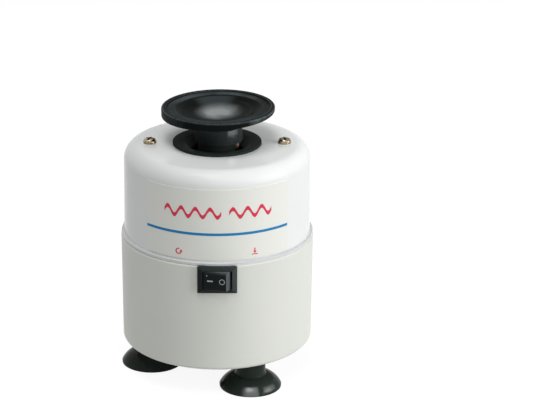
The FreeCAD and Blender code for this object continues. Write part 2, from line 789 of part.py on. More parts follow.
def lower_bracket():
    """Lower bracket, with the boss that works the touch switch."""
    bracket = end_bracket()
    bracket.rotate(ORIGIN, X_AXIS, HALF_TURN)
    bracket = moved(bracket, 0, 0, STACK_Z)
    boss = rod(ACTUATOR_R, MOTOR_Z - ACTUATOR_H, MOTOR_Z + WEB_T / 2, 0, TOUCH_Y)
    return bracket.fuse(boss).removeSplitter()


def motor_bush(low):
    return tube(SHAFT_R + RUN_GAP, MOTOR_BUSH_R, low, low + MOTOR_BUSH_L)


def motor_bolts():
    """Through bolts from the lower bracket up to the carrier plate."""
    top = PLATE_TOP + BOLT_NUT_T + BOLT_PROUD
    bolts = []
    for x, y in bolt_places():
        head = rod(BOLT_HEAD_R, MOTOR_Z - BOLT_HEAD_T, MOTOR_Z, x, y)
        bolts.append(head.fuse(rod(BOLT_R, MOTOR_Z - BOLT_HEAD_T, top, x, y)).removeSplitter())
    return group(bolts)


def motor_nuts():
    high = PLATE_TOP + BOLT_NUT_T
    nuts = []
    for x, y in bolt_places():
        nut = hexagon(BOLT_NUT_AF, PLATE_TOP, high, x, y)
        nuts.append(nut.cut(rod(BOLT_R + SEAT_GAP, PLATE_TOP - OVERCUT, high + OVERCUT, x, y)))
    return group(nuts)


def rotor_core():
    """Cage rotor: a laminated core with a cast ring on each end."""
    bore = SHAFT_R + SEAT_GAP
    ring_r = ROTOR_R - END_RING_INSET
    low = STACK_Z - END_RING_H
    high = STACK_TOP + END_RING_H
    return turned([
        (bore, low),
        (ring_r, low),
        (ring_r, STACK_Z),
        (ROTOR_R, STACK_Z),
        (ROTOR_R, STACK_TOP),
        (ring_r, STACK_TOP),
        (ring_r, high),
        (bore, high),
    ])


def motor_shaft():
    return rod(SHAFT_R, MOTOR_Z - SHAFT_TAIL, HUB_Z + SHAFT_GRIP)


def shaft_spacers():
    """Rings that keep the rotor between the two bushes, with a little end play."""
    bore = SHAFT_R + SEAT_GAP
    high = STACK_TOP + END_RING_H
    low = STACK_Z - END_RING_H
    return group([
        tube(bore, bore + SPACER_WALL, high, high + SPACER_T),
        tube(bore, bore + SPACER_WALL, low - SPACER_T, low),
    ])


# Eccentric and mixing head

def eccentric_hub():
    """Hub on the shaft with an offset pin on top, drilled for its screw."""
    body = rod(HUB_R, HUB_Z, HUB_TOP)
    shoulder = rod(PIN_R + PIN_SHOULDER, HUB_TOP - OVERCUT, BEARING_Z, HEAD_X, HEAD_Y)
    pin = rod(PIN_R, HUB_TOP - OVERCUT, BEARING_TOP, HEAD_X, HEAD_Y)
    body = body.fuse([shoulder, pin])
    screw_z = HUB_TOP - HUB_SCREW_DROP
    flat_x = HUB_R - HUB_FLAT
    flat = block((flat_x, HUB_R + OVERCUT), middle_span(2 * HUB_R), (HUB_Z - OVERCUT, HUB_TOP + OVERCUT))
    hole = Part.makeCylinder(HUB_SCREW_R + SEAT_GAP, HUB_R, FreeCAD.Vector(0, 0, screw_z), X_AXIS)
    cuts = [spun(flat, HUB_SCREW_ANGLE), spun(hole, HUB_SCREW_ANGLE)]
    cuts.append(rod(SHAFT_R + SEAT_GAP, HUB_Z - OVERCUT, HUB_Z + SHAFT_GRIP))
    pin_thread = (BEARING_TOP - PIN_SCREW_L, BEARING_TOP + OVERCUT)
    cuts.append(rod(PIN_SCREW_R + SEAT_GAP, *pin_thread, HEAD_X, HEAD_Y))
    return body.cut(cuts).removeSplitter()


def hub_screw():
    """Screw that clamps the hub on the shaft, with its head on the hub's flat."""
    length = HUB_R - HUB_FLAT - SHAFT_R - SEAT_GAP
    shape = screw(HUB_SCREW_HEAD_R, HUB_SCREW_HEAD_T, HUB_SCREW_R, length)
    shape.rotate(ORIGIN, Y_AXIS, SQUARE_TURN)
    return spun(moved(shape, HUB_R - HUB_FLAT, 0, HUB_TOP - HUB_SCREW_DROP), HUB_SCREW_ANGLE)


def bearing_inner():
    bore = PIN_R + SEAT_GAP
    return tube(bore, PIN_R + INNER_RING_T, BEARING_Z, BEARING_TOP, HEAD_X, HEAD_Y)


def bearing_outer():
    """Outer ring with a shield sunk into each side, clear of the inner ring."""
    race_r = BEARING_R - OUTER_RING_T
    shield_r = PIN_R + INNER_RING_T + SHIELD_GAP
    low = BEARING_Z + SHIELD_SINK
    high = BEARING_TOP - SHIELD_SINK
    return turned([
        (BEARING_R, BEARING_Z),
        (BEARING_R, BEARING_TOP),
        (race_r, BEARING_TOP),
        (race_r, high),
        (shield_r, high),
        (shield_r, high - SHIELD_T),
        (race_r, high - SHIELD_T),
        (race_r, low + SHIELD_T),
        (shield_r, low + SHIELD_T),
        (shield_r, low),
        (race_r, low),
        (race_r, BEARING_Z),
    ], HEAD_X, HEAD_Y)


def bearing_screw():
    """Flat-headed screw in the pin, holding the inner ring down."""
    high = BEARING_TOP + PIN_SCREW_HEAD_T
    head = rod(PIN_SCREW_HEAD_R, BEARING_TOP, high, HEAD_X, HEAD_Y)
    return head.fuse(rod(PIN_SCREW_R, BEARING_TOP - PIN_SCREW_L, high, HEAD_X, HEAD_Y)).removeSplitter()


def head_hub():
    """Metal cup inside the neck that holds the bearing's outer ring."""
    bore = BEARING_R + SEAT_GAP
    ledge = BEARING_R - CUP_SHOULDER
    return turned([
        (bore, BEARING_Z),
        (CUP_R, BEARING_Z),
        (CUP_R, CUP_TOP),
        (0, CUP_TOP),
        (0, CUP_WEB_Z),
        (ledge, CUP_WEB_Z),
        (ledge, BEARING_TOP),
        (bore, BEARING_TOP),
    ], HEAD_X, HEAD_Y)


def mixing_head():
    """Rubber dish with a stepped lip and a round bowl, flaring out of a hollow neck."""
    bore = CUP_R + SEAT_GAP
    lip_in = DISH_R - DISH_LIP_W
    bowl_r = lip_in - DISH_LAND_W
    rim_z = DISH_TOP - DISH_RIM_H
    neck_top = (NECK_R, CUP_TOP)
    under = (DISH_R, rim_z)
    edge = (DISH_R, DISH_TOP)
    lip = (lip_in, DISH_TOP)
    return turned([
        (0, CUP_TOP),
        (bore, CUP_TOP),
        (bore, NECK_Z),
        (NECK_R - NECK_CHAMFER, NECK_Z),
        (NECK_R, NECK_Z + NECK_CHAMFER),
        *rounded((NECK_R, NECK_Z), neck_top, under, FLARE_ROUND),
        *rounded(neck_top, under, edge, DISH_EDGE_ROUND),
        *rounded(under, edge, lip, DISH_EDGE_ROUND),
        lip,
        (lip_in, LAND_Z),
        (bowl_r, LAND_Z),
        cap_node((bowl_r, LAND_Z), (0, BOWL_Z)),
    ], HEAD_X, HEAD_Y)


# Rocker switch

def bezel_wire(width, height, y):
    x_low, x_high = middle_span(width)
    z_low, z_high = middle_span(height, SWITCH_Z)
    corners = [(x_low, z_low), (x_high, z_low), (x_high, z_high), (x_low, z_high), (x_low, z_low)]
    return Part.makePolygon([FreeCAD.Vector(x, y, z) for x, z in corners])


def blade_centres():
    return middle_span(BLADE_PITCH)


def switch_frame():
    """Bezel with sloping sides, its hollow body, pivot holes and slots for the blades."""
    edge_y = SWITCH_Y - BEZEL_EDGE_T
    front_y = SWITCH_Y - BEZEL_T
    back_y = SWITCH_Y + SWITCH_BODY_D
    wires = [bezel_wire(BEZEL_W, BEZEL_H, edge_y), bezel_wire(WINDOW_W, WINDOW_H, front_y)]
    slope = Part.makeLoft(wires, True, True)
    plate = block(middle_span(BEZEL_W), (edge_y, SWITCH_Y), middle_span(BEZEL_H, SWITCH_Z))
    body = block(middle_span(SWITCH_BODY_W), (edge_y, back_y), middle_span(SWITCH_BODY_H, SWITCH_Z))
    cavity_w = WINDOW_W - 2 * ROCKER_GAP
    cavity_h = WINDOW_H - 2 * ROCKER_GAP
    cavity_y = (front_y - OVERCUT, back_y - SWITCH_BACK_T)
    cuts = [block(middle_span(cavity_w), cavity_y, middle_span(cavity_h, SWITCH_Z))]
    cuts.append(rod(PIVOT_R + RUN_GAP, *middle_span(SWITCH_BODY_H + OVERCUT, SWITCH_Z), 0, PIVOT_Y))
    slot_y = (back_y - SWITCH_BACK_T - OVERCUT, back_y + OVERCUT)
    for x in blade_centres():
        thick = middle_span(BLADE_T + 2 * SEAT_GAP, x)
        cuts.append(block(thick, slot_y, middle_span(BLADE_W + 2 * SEAT_GAP, SWITCH_Z)))
    return slope.fuse([plate, body]).cut(cuts).removeSplitter()


def is_level_face_edge(edge):
    """True for the upper and lower edges of the rocker's face before it is tipped."""
    start, end = edge.Vertexes
    on_face = abs(start.Y + end.Y - 2 * (PIVOT_Y - ROCKER_FACE)) < SAME_POINT
    return on_face and abs(start.Z - end.Z) < SAME_POINT


def switch_rocker():
    """Rocker with bevelled ends and two pivot stubs, tipped so that its left end is pressed in."""
    height = WINDOW_H - 4 * ROCKER_GAP
    profile = [
        (WINDOW_W / 2 - ROCKER_FACE_INSET, ROCKER_FACE),
        (WINDOW_W / 2 - ROCKER_END_INSET, ROCKER_FACE - ROCKER_END_DROP),
        (ROCKER_SKIRT, -ROCKER_ROOT / 2),
        (PIVOT_R, -ROCKER_ROOT),
    ]
    half_turned = [(-x, depth) for x, depth in reversed(profile)]
    corners = profile + half_turned + profile[:1]
    base_z = SWITCH_Z - height / 2
    points = [FreeCAD.Vector(x, PIVOT_Y - depth, base_z) for x, depth in corners]
    slab = Part.Face(Part.makePolygon(points)).extrude(Z_AXIS * height)
    long_edges = [edge for edge in slab.Edges if is_level_face_edge(edge)]
    cap = slab.makeChamfer(ROCKER_CHAMFER, long_edges)
    stubs = rod(PIVOT_R, *middle_span(SWITCH_BODY_H - OVERCUT, SWITCH_Z), 0, PIVOT_Y)
    rocker = cap.fuse(stubs).removeSplitter()
    rocker.rotate(FreeCAD.Vector(0, PIVOT_Y, 0), Z_AXIS, -ROCKER_TILT)
    return rocker


def switch_terminals():
    back_y = SWITCH_Y + SWITCH_BODY_D
    span_y = (back_y - SWITCH_BACK_T, back_y + BLADE_L)
    return group(
        block(middle_span(BLADE_T, x), span_y, middle_span(BLADE_W, SWITCH_Z))
        for x in blade_centres()
    )


# Touch switch

def touch_screw_places():
    return [(x, TOUCH_Z + TOUCH_H / 2) for x in middle_span(TOUCH_HOLE_PITCH)]


def cross_hole(radius, x, z):
    """Cutter along Y through the touch switch and its bracket."""
    start = FreeCAD.Vector(x, TOUCH_Y - TOUCH_W, z)
    return Part.makeCylinder(radius, 2 * TOUCH_W, start, Y_AXIS)


def tab_centres():
    return (-TAB_PITCH, 0.0, TAB_PITCH)


def micro_switch():
    """Case of the touch switch, with its plunger hole and screw holes."""
    case = block(middle_span(TOUCH_L), middle_span(TOUCH_W, TOUCH_Y), (TOUCH_Z, TOUCH_TOP))
    depth = PLUNGER_DEPTH + 2 * TRAVEL
    cuts = [rod(PLUNGER_R + RUN_GAP, TOUCH_TOP - depth, TOUCH_TOP + OVERCUT, 0, TOUCH_Y)]
    cuts += [cross_hole(TOUCH_SCREW_R + SEAT_GAP, x, z) for x, z in touch_screw_places()]
    for x in tab_centres():
        pocket = block(
            middle_span(TAB_T + 2 * SEAT_GAP, x),
            middle_span(TAB_W + 2 * SEAT_GAP, TOUCH_Y),
            (TOUCH_Z - OVERCUT, TOUCH_Z + TAB_T),
        )
        cuts.append(pocket)
    return case.cut(cuts)


def micro_switch_plunger():
    return rod(PLUNGER_R, TOUCH_TOP - PLUNGER_DEPTH, PLUNGER_TOP, 0, TOUCH_Y)


def micro_switch_terminals():
    span_z = (TOUCH_Z - TAB_L, TOUCH_Z + TAB_T)
    return group(
        block(middle_span(TAB_T, x), middle_span(TAB_W, TOUCH_Y), span_z)
        for x in tab_centres()
    )


def micro_switch_bracket():
    """Bent sheet bracket that stands on the base plate behind the touch switch."""
    back = ANGLE_Y + ANGLE_T
    toe = back - ANGLE_FOOT - ANGLE_T
    heel = (back, BASE_TOP)
    top = TOUCH_TOP - ANGLE_T
    inner = (ANGLE_Y, BASE_TOP + ANGLE_T)
    face = outline_face([
        (toe, BASE_TOP),
        *rounded((toe, BASE_TOP), heel, (back, top), ANGLE_BEND + ANGLE_T),
        (back, top),
        (ANGLE_Y, top),
        *rounded((ANGLE_Y, top), inner, (toe, inner[1]), ANGLE_BEND),
        (toe, inner[1]),
    ])
    sheet = face.extrude(Y_AXIS * TOUCH_L)
    sheet.rotate(ORIGIN, Z_AXIS, SQUARE_TURN)
    sheet = moved(sheet, TOUCH_L / 2)
    cuts = [cross_hole(TOUCH_SCREW_R + SEAT_GAP, x, z) for x, z in touch_screw_places()]
    for x in middle_span(TAB_PITCH):
        span = (BASE_TOP - OVERCUT, BASE_TOP + ANGLE_T + OVERCUT)
        cuts.append(rod(TOUCH_SCREW_R + HOLE_GAP, *span, x, ANGLE_Y - ANGLE_FOOT / 2))
    return sheet.cut(cuts)


def plain_screw(head_r, head_t, shank_r, length):
    """Hidden screw, head up, with the seat of its head at height 0."""
    return rod(head_r, 0, head_t).fuse(rod(shank_r, -length, head_t)).removeSplitter()


def micro_switch_screws():
    screws = []
    for x, z in touch_screw_places():
        shape = plain_screw(TOUCH_SCREW_HEAD_R, TOUCH_SCREW_HEAD_T, TOUCH_SCREW_R, TOUCH_W + ANGLE_T)
        shape.rotate(ORIGIN, X_AXIS, SQUARE_TURN)
        screws.append(moved(shape, x, TOUCH_Y - TOUCH_W / 2, z))
    return group(screws)


def bracket_screws():
    screws = []
    for x in middle_span(TAB_PITCH):
        length = ANGLE_T + ANGLE_SCREW_DEPTH
        shape = plain_screw(TOUCH_SCREW_HEAD_R, TOUCH_SCREW_HEAD_T, TOUCH_SCREW_R, length)
        screws.append(moved(shape, x, ANGLE_Y - ANGLE_FOOT / 2, BASE_TOP + ANGLE_T))
    return group(screws)


# Gland

def cord_gland():
    """Snap-in bush for the lead, with a rounded brim outside and a barb inside the wall."""
    neck_r = GLAND_BORE_R + GLAND_WALL
    brim_r = neck_r + GLAND_BRIM
    barb_r = neck_r + GLAND_BARB
    seat = shell_radius(GLAND_Z + brim_r) + SEAT_GAP
    face = seat + GLAND_BRIM_T
    inner = shell_radius(GLAND_Z - barb_r) - SHELL_WALL
    barb = math.sqrt(inner ** 2 - barb_r ** 2) - SEAT_GAP
    tail = barb - GLAND_BARB_T
    bush = turned([
        (GLAND_BORE_R, tail),
        (neck_r, tail),
        (barb_r, barb),
        (neck_r, barb),
        (neck_r, seat),
        (brim_r, seat),
        *rounded((brim_r, seat), (brim_r, face), (GLAND_BORE_R, face), GLAND_EDGE_ROUND),
        (GLAND_BORE_R, face),
    ])
    bush.rotate(ORIGIN, X_AXIS, -SQUARE_TURN)
    return moved(bush, 0, 0, GLAND_Z)


def all_pieces():
    pieces = {
        "lower_housing": lower_housing(),
        "upper_cover": upper_cover(),
        "cover_ring": cover_ring(),
        "label_panel": label_panel(),
        "cover_screws": cover_screws(),
        "base_plate": base_plate(),
        "foot_studs": foot_studs(),
        "foot_nuts": foot_nuts(),
        "pillar_screw": pillar_screw(),
        "pillar_left": pillar(-PILLAR_X),
        "pillar_right": pillar(PILLAR_X),
        "retaining_rings": retaining_rings(),
        "carrier_springs": carrier_springs(),
        "carrier_plate": carrier_plate(),
        "guide_bushes": guide_bushes(),
        "stator_core": stator_core(),
        "stator_windings": stator_windings(),
        "upper_bracket": upper_bracket(),
        "lower_bracket": lower_bracket(),
        "motor_bush_upper": motor_bush(STACK_TOP + BRACKET_H - MOTOR_BUSH_L),
        "motor_bush_lower": motor_bush(MOTOR_Z),
        "motor_bolts": motor_bolts(),
        "motor_nuts": motor_nuts(),
        "rotor_core": rotor_core(),
        "motor_shaft": motor_shaft(),
        "shaft_spacers": shaft_spacers(),
        "eccentric_hub": eccentric_hub(),
        "hub_screw": hub_screw(),
        "head_bearing_inner": bearing_inner(),
        "head_bearing_outer": bearing_outer(),
        "bearing_screw": bearing_screw(),
        "head_hub": head_hub(),
        "mixing_head": mixing_head(),
        "switch_frame": switch_frame(),
        "switch_rocker": switch_rocker(),
        "switch_terminals": switch_terminals(),
        "micro_switch": micro_switch(),
        "micro_switch_plunger": micro_switch_plunger(),
        "micro_switch_terminals": micro_switch_terminals(),
        "micro_switch_bracket": micro_switch_bracket(),
        "micro_switch_screws": micro_switch_screws(),
        "bracket_screws": bracket_screws(),
        "cord_gland": cord_gland(),
    }
    for name, (x, y) in foot_places().items():
        pieces["foot_" + name] = suction_foot(x, y)
    return pieces


def main():
    os.makedirs("parts", exist_ok=True)
    for name, shape in all_pieces().items():
        sound = shape.isValid() and all(solid.isClosed() for solid in shape.Solids)
        verdict = "sound" if sound else "FAULTY"
        print(name, len(shape.Solids), "solids", round(shape.Volume, 1), "mm3", verdict)
        shape.exportStep("parts/" + name + ".step")


main()
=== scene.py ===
# %% [markdown]
# # A small bench mixer, dressed
# The CAD model holds every piece of the mixer at its real size. This lesson loads it as a fixed frame and
# gives it the looks of the real machine: moulded plastic, a matt printed panel, black rubber and plated
# screws. No CAD piece is moved. Where a piece needs finer form than the CAD gives, a new mesh stands in
# its place.

# %% Load the frame
import math

import bmesh
import bpy
from mathutils import Matrix, Vector


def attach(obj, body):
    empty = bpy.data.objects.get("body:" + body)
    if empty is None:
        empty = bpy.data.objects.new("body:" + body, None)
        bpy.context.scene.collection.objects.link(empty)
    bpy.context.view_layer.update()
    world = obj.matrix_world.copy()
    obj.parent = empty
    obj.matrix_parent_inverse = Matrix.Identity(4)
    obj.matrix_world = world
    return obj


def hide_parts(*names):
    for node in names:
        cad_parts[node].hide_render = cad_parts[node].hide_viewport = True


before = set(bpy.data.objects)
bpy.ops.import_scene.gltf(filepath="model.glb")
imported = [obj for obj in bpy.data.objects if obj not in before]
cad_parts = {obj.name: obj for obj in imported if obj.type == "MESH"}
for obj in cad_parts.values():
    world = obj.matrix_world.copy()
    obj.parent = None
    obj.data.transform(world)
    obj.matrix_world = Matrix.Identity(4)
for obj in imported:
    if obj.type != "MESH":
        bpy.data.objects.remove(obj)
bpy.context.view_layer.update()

MM = 0.001

# %% [markdown]
# ## The camera
# The photograph was taken from the front, a little over a metre away and about twenty degrees above the
# bench. The long lens keeps the sides nearly upright. The mixer stands left of the middle of the picture,
# so the lens is shifted instead of turned: a turned camera would lean the sides.

# %% Set up the camera
LOOK_AT = Vector((0.0, 0.0, 75.9 * MM))
PICTURE = (533, 420)
MIDDLE_IN_PICTURE = (217.19, 234.86)
PIXEL_FOCUS = 2174.0
CAMERA_AWAY = 1.2
CAMERA_TILT = math.radians(21.4)

camera_data = bpy.data.cameras.new("front_camera")
camera_data.sensor_width = 36.0
camera_data.lens = PIXEL_FOCUS * camera_data.sensor_width / PICTURE[0]
camera_data.shift_x = (PICTURE[0] / 2 - MIDDLE_IN_PICTURE[0]) / PICTURE[0]
camera_data.shift_y = (MIDDLE_IN_PICTURE[1] - PICTURE[1] / 2) / PICTURE[0]
camera = bpy.data.objects.new("front_camera", camera_data)
camera.location = LOOK_AT + CAMERA_AWAY * Vector((0.0, -math.cos(CAMERA_TILT), math.sin(CAMERA_TILT)))
camera.rotation_euler = (math.pi / 2 - CAMERA_TILT, 0.0, 0.0)
bpy.context.scene.collection.objects.link(camera)
bpy.context.scene.camera = camera
bpy.context.scene.view_settings.view_transform = "Standard"
print("lens", round(camera_data.lens, 1), "mm")

# %% [markdown]
# ## A wire that can do sums
# Shader maths is easier to read as sums than as a web of nodes. This small class wraps one output socket.
# Adding or multiplying two of them makes the Math node, and `node` makes any other kind of node.

# %% The Wire class
class Wire:
    """One output socket of a node tree, usable in Python sums."""

    def __init__(self, tree, socket=None):
        self.tree = tree
        self.socket = socket

    def node(self, kind, settings, sockets, out=0):
        """Adds a node: its settings first, then the values or links of its sockets."""
        made = self.tree.nodes.new("ShaderNode" + kind)
        for name, value in settings.items():
            setattr(made, name, value)
        for name, value in sockets.items():
            if isinstance(value, Wire):
                self.tree.links.new(value.socket, made.inputs[name])
            else:
                made.inputs[name].default_value = value
        return Wire(self.tree, made.outputs[out])

    def beside(self, out):
        """Another output of the same node."""
        return Wire(self.tree, self.socket.node.outputs[out])

    def into(self, target):
        self.tree.links.new(self.socket, target)

    def math(self, operation, first, second):
        return self.node("Math", {"operation": operation}, {0: first, 1: second})

    def __add__(self, other):
        return self.math("ADD", self, other)

    def __radd__(self, other):
        return self.math("ADD", other, self)

    def __sub__(self, other):
        return self.math("SUBTRACT", self, other)

    def __rsub__(self, other):
        return self.math("SUBTRACT", other, self)

    def __mul__(self, other):
        return self.math("MULTIPLY", self, other)

    def __rmul__(self, other):
        return self.math("MULTIPLY", other, self)


print("Wire is ready")

# %% [markdown]
# ## Studio light
# The photograph has a large soft light from the right, weaker ones in front and above, and pale walls all
# round. The world gives the even part, and it shows as plain white to the camera and in reflections.
# Three soft boxes give the rest: the right one models the round sides, the front one puts soft glints on
# the rubber, and the upper one lights the top. They are just weak enough that the white shoulder doesn't
# burn out.

# %% World and lamps
WALL_LIGHT = 0.275
WHITE = (1.0, 1.0, 1.0, 1.0)

studio = bpy.data.worlds.new("studio")
studio.use_nodes = True
bpy.context.scene.world = studio
walls = studio.node_tree.nodes["Background"]
walls.inputs["Color"].default_value = WHITE


def seen_directly(tree):
    """1 for camera, glossy and see-through rays, and 0 for the rays that carry light."""
    ray = Wire(tree).node("LightPath", {}, {}, "Is Camera Ray")
    shiny = ray.math("MAXIMUM", ray, ray.beside("Is Glossy Ray"))
    return ray.math("MAXIMUM", shiny, ray.beside("Is Transmission Ray"))


seen = seen_directly(studio.node_tree)
(WALL_LIGHT + seen * (1.0 - WALL_LIGHT)).into(walls.inputs["Strength"])


def soft_lamp(name, azimuth, elevation, away, wide, power):
    """A square soft box that looks at the mixer. Azimuth 0 is the camera's side, and 90 the right."""
    data = bpy.data.lights.new(name, "AREA")
    data.size = wide
    data.energy = power
    lamp = bpy.data.objects.new(name, data)
    side, up = math.radians(azimuth), math.radians(elevation)
    out = Vector((math.sin(side) * math.cos(up), -math.cos(side) * math.cos(up), math.sin(up)))
    lamp.location = LOOK_AT + away * out
    lamp.rotation_euler = out.to_track_quat("Z", "Y").to_euler()
    bpy.context.scene.collection.objects.link(lamp)
    print(name, "at", [round(x, 2) for x in lamp.location])


soft_lamp("right_soft_box", azimuth=68.0, elevation=18.0, away=1.7, wide=1.2, power=20.1)
soft_lamp("front_soft_box", azimuth=-3.0, elevation=57.0, away=1.5, wide=0.42, power=3.5)
soft_lamp("upper_soft_box", azimuth=-40.0, elevation=76.0, away=1.3, wide=0.5, power=4.4)

# %% [markdown]
# ## The floor
# The mixer stands on a pale floor that blends into a white background. Rays that carry light meet a plain
# pale surface. The camera sees the same surface brightened to white, so only the mixer's soft shadow
# still shows on it.

# %% Make the floor
FLOOR_HALF = 4.0
FLOOR_GREY = (0.62, 0.62, 0.62, 1.0)
SHADOW_GREY = (0.18, 0.18, 0.18, 1.0)
FLOOR_GLOW = 0.9

bm = bmesh.new()
bmesh.ops.create_grid(bm, x_segments=1, y_segments=1, size=FLOOR_HALF)
floor_mesh = bpy.data.meshes.new("floor")
bm.to_mesh(floor_mesh)
bm.free()
floor = bpy.data.objects.new("floor", floor_mesh)
bpy.context.scene.collection.objects.link(floor)

pale_floor = bpy.data.materials.new("pale_floor")
pale_floor.use_nodes = True
tree = pale_floor.node_tree
tree.nodes.remove(tree.nodes["Principled BSDF"])
plain = Wire(tree).node("BsdfDiffuse", {}, {"Color": FLOOR_GREY})
shadowed = plain.node("BsdfDiffuse", {}, {"Color": SHADOW_GREY})
white = plain.node("Emission", {}, {"Color": WHITE, "Strength": FLOOR_GLOW})
bright = plain.node("AddShader", {}, {0: shadowed, 1: white})
shown = plain.node("MixShader", {}, {0: seen_directly(tree), 1: plain, 2: bright})
shown.into(tree.nodes["Material Output"].inputs["Surface"])
floor_mesh.materials.append(pale_floor)
print("floor is", round(floor.dimensions.x, 1), "m wide")

# %% [markdown]
# ## Helpers for finishes
# Every finish starts from the same shader and reads the piece's own coordinates in metres, so a noise
# scale of 1000 gives marks about a millimetre across. `clouds` makes soft marks, `tinted` blends two
# colours by a mask, and `pressed` turns a height into a bump. Noise needs no picture and stays sharp at
# any distance.

# %% Finish helpers
def new_finish(name, fixed):
    """A new material with some sockets set, its shader, and the wire of the piece's coordinates."""
    finish = bpy.data.materials.new(name)
    finish.use_nodes = True
    shader = finish.node_tree.nodes["Principled BSDF"]
    for socket, value in fixed.items():
        shader.inputs[socket].default_value = value
    place = Wire(finish.node_tree).node("TexCoord", {}, {}, "Object")
    return finish, shader, place


def clouds(place, scale, detail=2.0):
    return place.node("TexNoise", {}, {"Vector": place, "Scale": scale, "Detail": detail})


def stretched(place, x, y, z):
    """The coordinates scaled unevenly, for marks that run one way."""
    return place.node("Mapping", {}, {"Vector": place, "Scale": (x, y, z)})


def tinted(mask, first, second):
    """The first colour where the mask is 0 and the second where it is 1."""
    sockets = {0: mask}
    for index, colour in ((6, first), (7, second)):
        sockets[index] = colour if isinstance(colour, Wire) else (*colour, 1.0)
    return mask.node("Mix", {"data_type": "RGBA"}, sockets, 2)


def pressed(height, depth, strength=1.0):
    """A bump whose height of 1 stands for this depth in millimetres."""
    sockets = {"Height": height, "Distance": depth * MM, "Strength": strength}
    return height.node("Bump", {}, sockets, "Normal")


def paint(finish, *names):
    """Gives a finish to CAD nodes that keep their own meshes."""
    for name in names:
        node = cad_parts[name]
        node.data.materials.clear()
        node.data.materials.append(finish)
    print(finish.name, "on", ", ".join(names))


print("finish helpers are ready")

# %% [markdown]
# ## Masks by place
# Dust and wear sit in certain places. A mask could be painted by hand, but here it is worked out from the
# height, the distance to an upright axis or the direction from it, so it fits the round pieces without
# any painting.

# %% Mask helpers
def ramp(value, low, high):
    """0 below low and 1 above high, with a soft change between."""
    bounds = {"Value": value, "From Min": low, "From Max": high}
    return value.node("MapRange", {"interpolation_type": "SMOOTHSTEP"}, bounds)


def rise(value, low, high):
    """The ramp of a length, with low and high in millimetres."""
    return ramp(value, low * MM, high * MM)


def across(place, axis):
    """One coordinate alone, in metres."""
    return place.node("SeparateXYZ", {}, {"Vector": place}, axis)


def upright(place):
    return across(place, "Z")


def flat_way(place, x, y):
    """The level way from an upright line through x and y."""
    sockets = {"Vector": place, "Location": (-x, -y, 0.0), "Scale": (1.0, 1.0, 0.0)}
    return place.node("Mapping", {}, sockets)


def from_axis(place, x, y):
    """Distance in metres from an upright line through x and y."""
    return place.node("VectorMath", {"operation": "LENGTH"}, {0: flat_way(place, x, y)}, "Value")


def toward(place, x, y, azimuth):
    """1 where the way out from an upright line has this azimuth, 0 square to it and -1 behind."""
    way = place.node("VectorMath", {"operation": "NORMALIZE"}, {0: flat_way(place, x, y)}, "Vector")
    side = (math.sin(math.radians(azimuth)), -math.cos(math.radians(azimuth)), 0.0)
    return place.node("VectorMath", {"operation": "DOT_PRODUCT"}, {0: way, 1: side}, "Value")


def near_circle(reach, radius, width):
    """1 on a circle about the axis, fading to 0 at this width from it. Both are in millimetres."""
    off = reach - radius * MM
    return 1.0 - rise(off.math("ABSOLUTE", off, 0.0), 0.0, width)


print("mask helpers are ready")

# %% [markdown]
# ## The white cover
# The cover is a smooth white moulding. Its shoulder shows a broad pale band and no hard glint, so its
# gloss is kept low. A faint orange-peel bump breaks the reflection. The seam above the flange is painted
# darker, as a thin line of dust and as painted shade between the two parts. This darker line is a mask by
# height, because the seam runs level all round.

# %% Cover finish
SEAM_Z = 80.3

cover_white, shader, place = new_finish("cover_white", {"Specular IOR Level": 0.13})
mottle = clouds(place, 45.0)
plain_white = tinted(mottle, (0.842, 0.862, 0.85), (0.812, 0.832, 0.818))
height = upright(place)
# Painted shade and dust: a thin line in the seam above the flange is painted darker.
in_seam = rise(height, SEAM_Z - 1.6, SEAM_Z - 0.6) * (1.0 - rise(height, SEAM_Z, SEAM_Z + 1.2))
seam_dust_and_shade = in_seam * (0.5 + 0.12 * clouds(place, 260.0))
tinted(seam_dust_and_shade, plain_white, (0.5, 0.52, 0.53)).into(shader.inputs["Base Color"])
(0.13 + 0.06 * clouds(place, 120.0)).into(shader.inputs["Roughness"])
pressed(clouds(place, 420.0), 0.03, 0.5).into(shader.inputs["Normal"])
paint(cover_white, "upper_cover")

# %% [markdown]
# ## The lower housing
# The pot below the seam is a warmer, duller plastic. It gets a fine spark-eroded grain, a little uneven
# sheen and faint scuffs near the bottom edge, where it is picked up and set down. The scuffs are clouds
# squeezed in height, so that they run round the pot.

# %% Housing finish
housing_cream, shader, place = new_finish("housing_cream", {"Specular IOR Level": 0.25})
mottle = clouds(place, 38.0)
plain_cream = tinted(mottle, (0.748, 0.764, 0.712), (0.722, 0.738, 0.687))
near_floor = 1.0 - rise(upright(place), 18.0, 34.0)
scuffs = ramp(clouds(stretched(place, 1.0, 1.0, 9.0), 110.0, 4.0), 0.62, 0.74) * near_floor
tinted(0.35 * scuffs, plain_cream, (0.5, 0.5, 0.45)).into(shader.inputs["Base Color"])
(0.34 + 0.1 * clouds(place, 150.0) + 0.12 * scuffs).into(shader.inputs["Roughness"])
pressed(clouds(place, 1500.0, 3.0), 0.02, 0.5).into(shader.inputs["Normal"])
paint(housing_cream, "lower_housing")

# %% [markdown]
# ## The printed panel
# The panel on the front is a thin matt film, a shade warmer than the cover. Its own surface only needs a
# fine paper-like grain. The printing could be part of this finish, but thin raised ink keeps its edges
# sharp, so it is made further on as pieces of its own.

# %% Panel film finish
label_cream, shader, place = new_finish("label_cream", {"Specular IOR Level": 0.35})
weft = clouds(place, 900.0, 4.0)
tinted(weft, (0.833, 0.846, 0.792), (0.809, 0.822, 0.768)).into(shader.inputs["Base Color"])
(0.5 + 0.12 * weft).into(shader.inputs["Roughness"])
pressed(weft, 0.015, 0.5).into(shader.inputs["Normal"])
paint(label_cream, "label_panel")
